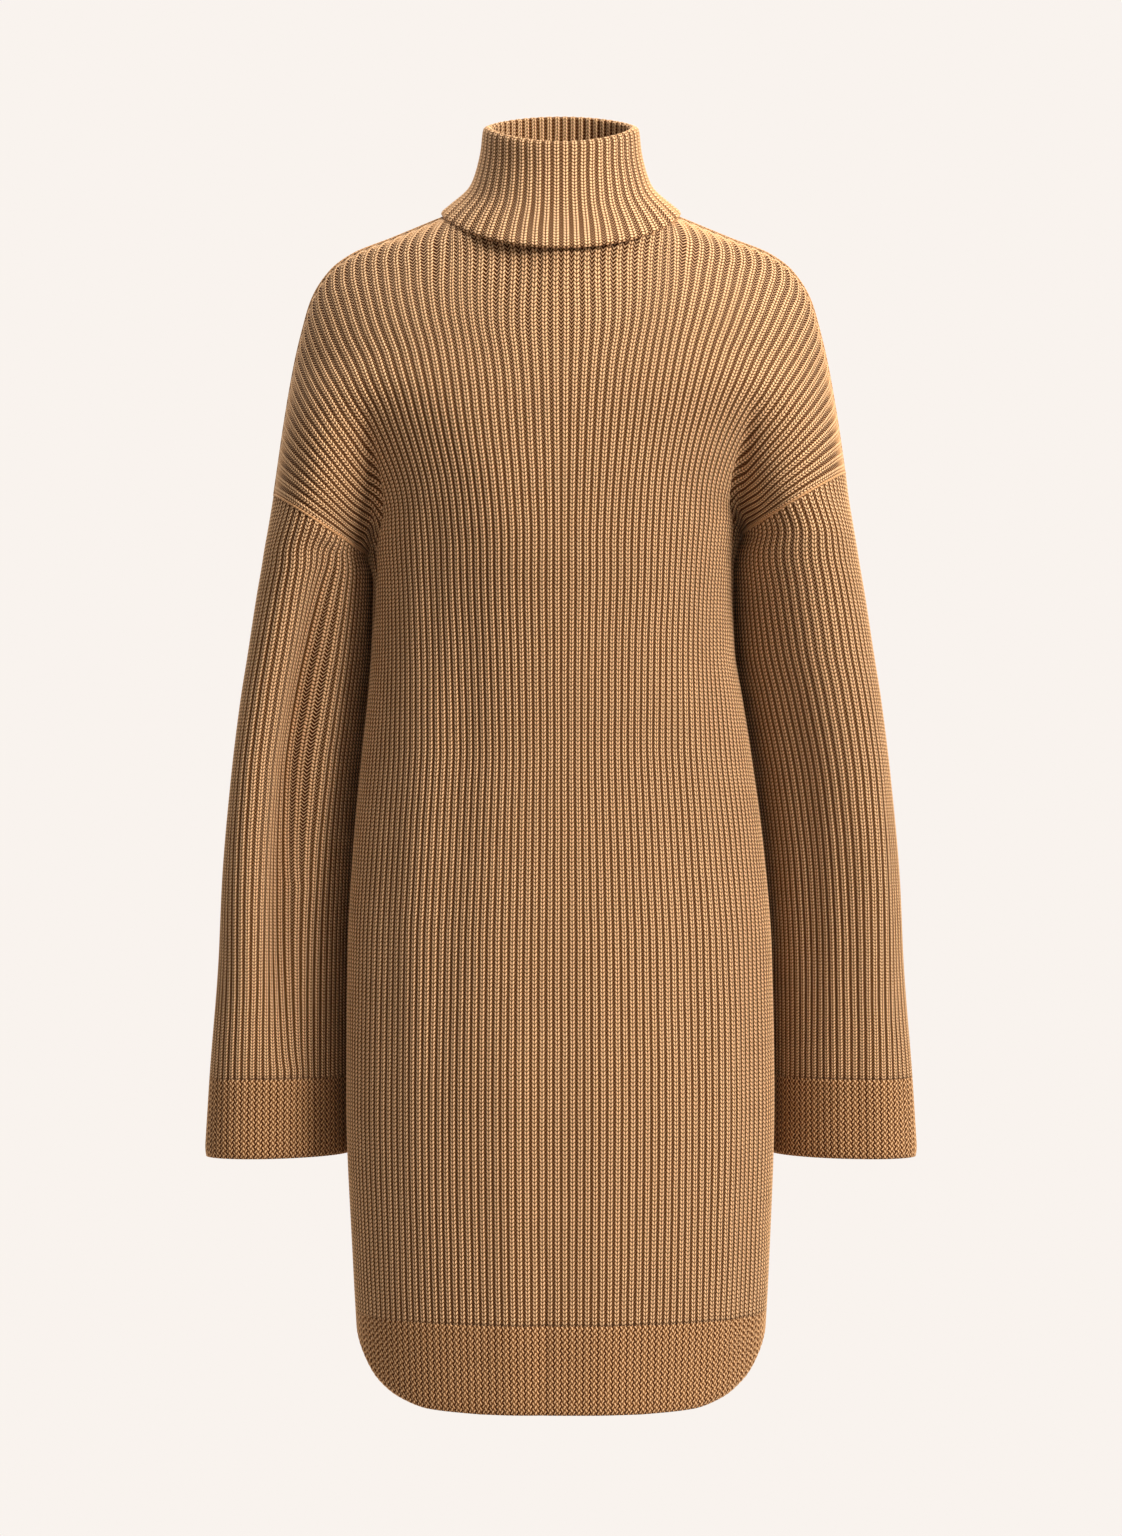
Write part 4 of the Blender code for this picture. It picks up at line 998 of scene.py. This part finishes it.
class Finish:
    """A knit material, its nodes added one after another."""

    def __init__(self, name, look):
        self.material = bpy.data.materials.new(name)
        self.material.use_nodes = True
        self.tree = self.material.node_tree
        self.shader = self.tree.nodes["Principled BSDF"]
        self.shader.inputs["Roughness"].default_value = look.roughness
        self.shader.inputs["Sheen Weight"].default_value = look.fuzz
        self.shader.inputs["Sheen Roughness"].default_value = FUZZ_SPREAD
        self.shader.inputs["Sheen Tint"].default_value = (*look.fuzz_colour, 1)
        self.shader.inputs["Specular IOR Level"].default_value = YARN_GLOSS
        self.look = look

    def add(self, kind, *inputs, **settings):
        """A node with its settings, and its inputs linked or set in order."""
        node = self.tree.nodes.new("ShaderNode" + kind)
        for name, value in settings.items():
            setattr(node, name, value)
        for socket, value in zip(node.inputs, inputs):
            if isinstance(value, bpy.types.NodeSocket):
                self.tree.links.new(value, socket)
            elif value is not None:
                socket.default_value = value
        return node.outputs

    def math(self, operation, *values):
        """One step of arithmetic."""
        return self.add("Math", *values, operation=operation)[0]

    def steps(self, value, low, high):
        """A smooth step from 0 at `low` to 1 at `high`."""
        return self.add("MapRange", value, low, high, 0.0, 1.0, interpolation_type="SMOOTHSTEP")[0]

    def blend(self, share, first, second):
        """The first value where the share is 0, and the second where it is 1."""
        return self.add("Mix", share, None, first, second, data_type="FLOAT")[0]

    def triangle(self, value):
        """0 at whole numbers and 1 half way between them."""
        return self.math("PINGPONG", self.math("MULTIPLY", value, 2.0), 1.0)

    def peak(self, value):
        """1 at whole numbers and 0 half way between them."""
        return self.math("SUBTRACT", 1.0, self.triangle(value))

    def vary(self, value, noise, amount):
        """A value made uneven by a noise about its middle."""
        return self.math("MULTIPLY_ADD", self.math("SUBTRACT", noise, 0.5), amount, value)

    def counts(self):
        """Ribs counted across and courses counted upwards, both a little uneven."""
        across, up, _ = self.add("SeparateXYZ", self.add("UVMap", uv_map="knit")[0])
        place = self.add("TexCoord")["Object"]
        uneven = self.add("TexNoise", place, None, HAND_SCALE, SOFT_DETAIL)["Color"]
        sideways, upwards, _ = self.add("SeparateXYZ", uneven)
        return self.vary(across, sideways, HAND_ACROSS), self.vary(up, upwards, HAND_UP), place

    def paint(self, light, place, depth):
        """Colour the cloth from painted shade in the gaps between the stitches to the yarn's light colour
        on their tops, lighter again with a painted sheen where the cloth is seen edge on.
        """
        look = self.look
        fibre = self.add("TexNoise", place, None, FIBRE_SCALE, FIBRE_DETAIL)[0]
        cloud = self.add("TexNoise", place, None, CLOUD_SCALE, SOFT_DETAIL)[0]
        light = self.vary(light, fibre, FIBRE)
        # Painted sheen: cloth seen edge on is made lighter in colour.
        edge = self.steps(self.add("LayerWeight", 0.5)["Facing"], RIM_START, 1.0)
        light = self.blend(self.math("MULTIPLY", edge, RIM_SHEEN), light, RIM_LIGHT)
        # The ramp paints shade: the gap colour at its low end, the stitch colour on the tops of the
        # stitches.
        ramp = self.add("ValToRGB", light)
        stops = ramp[0].node.color_ramp.elements
        stops[0].color, stops[1].color = (*look.dark, 1), (*look.light, 1)
        stops[0].position, stops[1].position = DARK_STOP, LIGHT_STOP
        stops.new(MID_STOP).color = (*look.mid, 1)
        shade = self.math("MULTIPLY_ADD", cloud, CLOUD, 1 - CLOUD / 2)
        colour = self.add("HueSaturation", 0.5, 1.0, shade, 1.0, ramp[0])[0]
        self.tree.links.new(colour, self.shader.inputs["Base Color"])
        height = self.math("MULTIPLY_ADD", fibre, FIBRE_RELIEF, light)
        bump = self.tree.nodes.new("ShaderNodeBump")
        bump.inputs["Distance"].default_value = depth
        self.tree.links.new(height, bump.inputs["Height"])
        self.tree.links.new(bump.outputs[0], self.shader.inputs["Normal"])
        return self.material


def ribbed_stitches(look, depth):
    """Ribs of two columns of slanting stitches, with purl stitches between them where they part."""
    finish = Finish("ribbed_stitches", look)
    across, up, place = finish.counts()
    pulled = finish.add("Attribute", attribute_name="pulled")["Fac"]
    from_crest = finish.peak(across)
    half = finish.math("MULTIPLY_ADD", pulled, RIB_HALF[1] - RIB_HALF[0], RIB_HALF[0])
    share = finish.math("DIVIDE", from_crest, half)
    off_leg = finish.math("MULTIPLY", finish.math("SUBTRACT", share, LEG_PLACE), 1 / LEG_HALF)
    leg = finish.math("SUBTRACT", 1.0, finish.math("MULTIPLY", off_leg, off_leg))
    stitch = finish.triangle(finish.math("MULTIPLY_ADD", share, -LEG_SLANT, up))
    stitch = finish.steps(stitch, 0.0, STITCH_END)
    leg = finish.math("MULTIPLY", leg, finish.blend(stitch, LEG_GAP, 1.0))
    groove = finish.math("SUBTRACT", 1.0, half)
    purl_share = finish.math("DIVIDE", finish.math("SUBTRACT", from_crest, half), groove)
    bow = finish.math("MULTIPLY_ADD", purl_share, PURL_SLANT, finish.math("ADD", up, 0.5))
    purl = finish.steps(finish.triangle(bow), PURL_START, PURL_END)
    # Painted shade on the purl stitches that the closed ribs hide.
    purl = finish.math("MULTIPLY", purl, finish.blend(pulled, PURL_CLOSED, PURL_OPEN))
    on_rib = finish.steps(share, *RIB_EDGE)
    light = finish.blend(on_rib, purl, leg)
    return finish.paint(light, place, depth)


def moss_stitches(look, depth):
    """Moss stitch: bumps that alternate from column to column and from course to course."""
    finish = Finish("moss_stitches", look)
    across, up, place = finish.counts()
    zigzag = finish.math("SINE", finish.math("MULTIPLY", up, math.pi))
    column = finish.math("MULTIPLY", finish.math("MULTIPLY_ADD", zigzag, BUMP_SWAY, across), float(BUMPS))
    odd = finish.math("MODULO", finish.math("FLOOR", column), 2.0)
    row = finish.math("MULTIPLY", finish.math("ADD", up, odd), 0.5)
    beside = finish.peak(column)
    above = finish.math("MULTIPLY", finish.peak(row), BUMP_SHORT)
    far = finish.math("ADD", finish.math("MULTIPLY", beside, beside), finish.math("MULTIPLY", above, above))
    bump = finish.steps(far, *BUMP_EDGE)
    swaying = finish.math("MULTIPLY_ADD", zigzag, GROOVE_SWAY, across)
    groove = finish.steps(finish.triangle(swaying), 0.0, GROOVE_WIDTH)
    light = finish.blend(bump, BUMP_LOW, BUMP_HIGH)
    light = finish.math("MULTIPLY", light, finish.blend(groove, GROOVE_SHADE, 1.0))
    return finish.paint(light, place, depth)


def linked_stitches(look, depth):
    """The chain of stitches that links two pieces."""
    finish = Finish("linked_stitches", look)
    across, up, place = finish.counts()
    stitch = finish.steps(finish.triangle(finish.math("ADD", across, up)), 0.0, STITCH_END)
    light = finish.blend(stitch, SEAM_GAP, SEAM_LIGHT)
    return finish.paint(light, place, depth)


def build_seams(material, sizes):
    """The ridges of linked stitches along the neckline, the shoulders and the armholes."""
    sink, size = sizes["seam_sink"], (sizes["seam_width"], sizes["seam_height"])
    turns = np.linspace(0, 1, SLEEVE_RIBS * RIDGE_STEPS, endpoint=False)
    pieces = []
    for side, at_side in ARMHOLES.items():
        outward = (at_side["sign"], 1, 1)
        points, facing, towards_body = (value * outward for value in armhole_edge(side, turns))
        path = points - facing * sink
        pieces.append(ridge("armhole_seam_" + side, path, facing, towards_body, size, material, True))
        facing = top_facing(side, "front")[QUARTER_NECK:] * outward
        path = top_edge(side, "front")[QUARTER_NECK:] * outward - facing * sink
        across = np.zeros_like(path) + (0, 1, 0)
        pieces.append(ridge("shoulder_seam_" + side, path, facing, across, size, material, False))
    angle = neck_angles()
    facing = ring_of(lambda face: neckline_facing(face, angle))
    path = ring_of(lambda face: neckline(face, angle)) - facing * sink
    across = ring_of(lambda face: neckline_seam(face, angle))
    pieces.append(ridge("neck_seam", path, facing, across, size, material, True))
    return pieces


def knit(build, stitches, *which):
    """Build one or more pieces at the user's sizes, in a kind of stitch made when it is first needed."""
    scene = bpy.context.scene
    sizes = {name: getattr(scene.dress_sizes, name) / MM for name in DressSizes.__annotations__}
    made = bpy.data.materials.get(stitches.__name__)
    material = made or stitches(scene.dress_yarn, scene.dress_sizes.stitch)
    return build(*which, material, sizes)


def sew_in(piece, node):
    """Hide the solid whose place a cloth piece takes."""
    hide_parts(node)


class DressSizes(bpy.types.PropertyGroup):
    """Sizes of the knit that a user would change."""

    rib: bpy.props.FloatProperty(
        name="Rib height", description="Height of a rib over the grooves beside it",
        default=0.0013, min=0.0005, max=0.002, unit="LENGTH", precision=4)
    wall: bpy.props.FloatProperty(
        name="Cloth thickness", description="Thickness of the cloth under the grooves",
        default=0.0023, min=0.001, max=0.003, unit="LENGTH", precision=4)
    band_rib: bpy.props.FloatProperty(
        name="Band rib height", description="Height of the ribs that run on into the cuffs and the hem",
        default=0.0006, min=0.0, max=0.0015, unit="LENGTH", precision=4)
    stitch: bpy.props.FloatProperty(
        name="Stitch relief", description="Height of the stitches drawn by the material",
        default=0.0009, min=0.0, max=0.002, unit="LENGTH", precision=4)
    seam_width: bpy.props.FloatProperty(
        name="Seam half width", description="Half width of the ridge along a linked seam",
        default=0.0009, min=0.0005, max=0.004, unit="LENGTH", precision=4)
    seam_height: bpy.props.FloatProperty(
        name="Seam half height", description="Half height of the ridge along a linked seam",
        default=0.0009, min=0.0005, max=0.004, unit="LENGTH", precision=4)
    seam_sink: bpy.props.FloatProperty(
        name="Seam depth", description="Depth of the middle of the ridge under the tops of the ribs",
        default=0.0005, min=0.0, max=0.003, unit="LENGTH", precision=4)


class DressYarn(bpy.types.PropertyGroup):
    """Colours and surface of the yarn, and the painted shade between its stitches."""

    # The three colours lie on a ramp from the gaps to the tops of the stitches: the stitch colour is the
    # yarn's own, and the yarn colour half way down is partly painted shade.
    light: bpy.props.FloatVectorProperty(
        name="Stitch colour", description="Colour on top of a stitch",
        default=(0.98, 0.62, 0.34), min=0.0, max=1.0, subtype="COLOR")
    mid: bpy.props.FloatVectorProperty(
        name="Yarn colour", description="Colour of the yarn half way down a stitch",
        default=(0.47, 0.225, 0.085), min=0.0, max=1.0, subtype="COLOR")
    # Painted shade: the gap colour stands for the shadow in the gaps between stitches, not a colour of the
    # yarn.
    dark: bpy.props.FloatVectorProperty(
        name="Painted gap shade", description="Colour in the gaps between stitches",
        default=(0.055, 0.013, 0.002), min=0.0, max=1.0, subtype="COLOR")
    roughness: bpy.props.FloatProperty(
        name="Roughness", description="Roughness of the yarn",
        default=0.85, min=0.0, max=1.0, subtype="FACTOR")
    fuzz: bpy.props.FloatProperty(
        name="Fuzz", description="Strength of the soft sheen of loose fibres",
        default=0.2, min=0.0, max=1.0, subtype="FACTOR")
    fuzz_colour: bpy.props.FloatVectorProperty(
        name="Fuzz colour", description="Colour of the sheen of loose fibres",
        default=(1.0, 0.70, 0.44), min=0.0, max=1.0, subtype="COLOR")


class DressStudio(bpy.types.PropertyGroup):
    """Colours and lights of the studio."""

    backdrop: bpy.props.FloatVectorProperty(
        name="Backdrop", description="Colour of the backdrop, and in a darker shade of the floor's paint",
        default=(0.947, 0.896, 0.855), min=0.0, max=1.0, subtype="COLOR")
    key: bpy.props.FloatProperty(
        name="Key light", description="Power of the light from the front right",
        default=146.0, min=0.0, unit="POWER")
    fill: bpy.props.FloatProperty(
        name="Fill light", description="Power of the light from the left",
        default=2.5, min=0.0, unit="POWER")
    top: bpy.props.FloatProperty(
        name="Top light", description="Power of the light from above",
        default=39.0, min=0.0, unit="POWER")
    back: bpy.props.FloatProperty(
        name="Back light", description="Power of the light from behind",
        default=26.0, min=0.0, unit="POWER")
    room: bpy.props.FloatProperty(
        name="Room light", description="Strength of the light from all round",
        default=0.36, min=0.0, soft_max=2.0)


class DRESS_OT_front_and_back(bpy.types.Operator):
    """Knit the front and the back"""

    bl_idname = "dress.front_and_back"
    bl_label = "Front and back"

    def execute(self, context):
        for face in FACES:
            sew_in(knit(build_panel, ribbed_stitches, face), face)
        return {"FINISHED"}


class DRESS_OT_sleeves(bpy.types.Operator):
    """Knit the two sleeves"""

    bl_idname = "dress.sleeves"
    bl_label = "Sleeves"

    def execute(self, context):
        for side in ARMHOLES:
            sew_in(knit(build_sleeve, ribbed_stitches, side), "sleeve_" + side)
        return {"FINISHED"}


class DRESS_OT_roll_neck(bpy.types.Operator):
    """Knit the roll neck and fold it over"""

    bl_idname = "dress.roll_neck"
    bl_label = "Roll neck"

    def execute(self, context):
        sew_in(knit(build_roll_neck, ribbed_stitches), "collar")
        return {"FINISHED"}


class DRESS_OT_hem_bands(bpy.types.Operator):
    """Knit the two bands of the hem in moss stitch"""

    bl_idname = "dress.hem_bands"
    bl_label = "Hem bands"

    def execute(self, context):
        for face in FACES:
            sew_in(knit(build_hem, moss_stitches, face), "hem_" + face)
        return {"FINISHED"}


class DRESS_OT_cuffs(bpy.types.Operator):
    """Knit the two cuffs in moss stitch"""

    bl_idname = "dress.cuffs"
    bl_label = "Cuffs"

    def execute(self, context):
        for side in ARMHOLES:
            sew_in(knit(build_cuff, moss_stitches, side), "cuff_" + side)
        return {"FINISHED"}


class DRESS_OT_seams(bpy.types.Operator):
    """Link the pieces along the neckline, the shoulders and the armholes"""

    bl_idname = "dress.seams"
    bl_label = "Seams"

    def execute(self, context):
        for piece in knit(build_seams, linked_stitches):
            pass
        return {"FINISHED"}


class DRESS_OT_studio(bpy.types.Operator):
    """Set up the floor, the backdrop, the lights and the camera"""

    bl_idname = "dress.studio"
    bl_label = "Studio"

    def execute(self, context):
        build_studio(context.scene, context.scene.dress_studio)
        return {"FINISHED"}


class DRESS_PT_knitwear(bpy.types.Panel):
    """The sizes, colours and steps of the dress"""

    bl_label = "Sweater dress"
    bl_space_type = "VIEW_3D"
    bl_region_type = "UI"
    bl_category = "Knitwear"

    def draw(self, context):
        for title, group in PANEL_GROUPS.items():
            box = self.layout.box()
            box.label(text=title)
            settings = getattr(context.scene, group)
            for name in settings.__annotations__:
                box.prop(settings, name)
        for operator in OPERATORS:
            self.layout.operator(operator.bl_idname)


PANEL_GROUPS = {"Sizes": "dress_sizes", "Yarn": "dress_yarn", "Studio": "dress_studio"}
OPERATORS = (
    DRESS_OT_front_and_back, DRESS_OT_sleeves, DRESS_OT_roll_neck, DRESS_OT_hem_bands,
    DRESS_OT_cuffs, DRESS_OT_seams, DRESS_OT_studio,
)
CLASSES = (DressSizes, DressYarn, DressStudio) + OPERATORS + (DRESS_PT_knitwear,)


def register():
    """Add the classes, and their settings on the scene."""
    for kind in CLASSES:
        bpy.utils.register_class(kind)
    bpy.types.Scene.dress_sizes = bpy.props.PointerProperty(type=DressSizes)
    bpy.types.Scene.dress_yarn = bpy.props.PointerProperty(type=DressYarn)
    bpy.types.Scene.dress_studio = bpy.props.PointerProperty(type=DressStudio)


def unregister():
    """Take the settings and the classes away again."""
    for group in PANEL_GROUPS.values():
        delattr(bpy.types.Scene, group)
    for kind in reversed(CLASSES):
        bpy.utils.unregister_class(kind)


def add_light(name, place, size, colour, power):
    """A soft square light that faces the dress."""
    light = bpy.data.lights.new(name, "AREA")
    light.energy, light.size, light.color = power, size, colour
    lamp = bpy.data.objects.new(name, light)
    lamp.location = place
    lamp.rotation_euler = (Vector(DRESS_MIDDLE) - Vector(place)).to_track_quat("-Z", "Y").to_euler()
    bpy.context.scene.collection.objects.link(lamp)


def paint_room(scene, studio):
    """A backdrop seen behind the dress, and a light of its colour from all round."""
    world = bpy.data.worlds.new("studio")
    scene.world = world
    world.use_nodes = True
    nodes, links = world.node_tree.nodes, world.node_tree.links
    seen, room = nodes["Background"], nodes.new("ShaderNodeBackground")
    seen.inputs["Color"].default_value = (*studio.backdrop, 1)
    room.inputs["Color"].default_value = (*studio.backdrop, 1)
    room.inputs["Strength"].default_value = studio.room
    rays, mix = nodes.new("ShaderNodeLightPath"), nodes.new("ShaderNodeMixShader")
    links.new(rays.outputs["Is Camera Ray"], mix.inputs[0])
    links.new(room.outputs[0], mix.inputs[1])
    links.new(seen.outputs[0], mix.inputs[2])
    links.new(mix.outputs[0], nodes["World Output"].inputs["Surface"])


def lay_floor(studio):
    """A round, matt floor, painted darker than the backdrop because the lights shine on it."""
    bpy.ops.mesh.primitive_circle_add(
        vertices=FLOOR_SIDES, radius=FLOOR_RADIUS, fill_type="NGON", location=(0, 0, FLOOR_Z))
    floor = bpy.context.object
    floor.name = "floor"
    paint = bpy.data.materials.new("floor_paint")
    paint.use_nodes = True
    shader = paint.node_tree.nodes["Principled BSDF"]
    shader.inputs["Base Color"].default_value = (*(FLOOR_SHADE * share for share in studio.backdrop), 1)
    shader.inputs["Roughness"].default_value = FLOOR_ROUGHNESS
    floor.data.materials.append(paint)


def set_camera(scene):
    """A camera before the middle of the dress."""
    camera = bpy.data.objects.new("camera", bpy.data.cameras.new("camera"))
    camera.data.lens = CAMERA_LENS
    camera.data.sensor_width = CAMERA_SENSOR
    camera.location = CAMERA_PLACE
    camera.rotation_euler = (math.pi / 2, 0, 0)
    scene.collection.objects.link(camera)
    scene.camera = camera


def build_studio(scene, studio):
    """The room and its floor, the lights and the camera, with colours shown as they are."""
    paint_room(scene, studio)
    lay_floor(studio)
    for name, (place, size, colour) in LIGHTS.items():
        add_light(name, place, size, colour, getattr(studio, name))
    set_camera(scene)
    scene.view_settings.view_transform = "Standard"


def main():
    """Register the classes, then make every piece and the studio."""
    register()
    for operator in OPERATORS:
        group, name = operator.bl_idname.split(".")
        getattr(getattr(bpy.ops, group), name)()


if __name__ == "__main__":
    main()
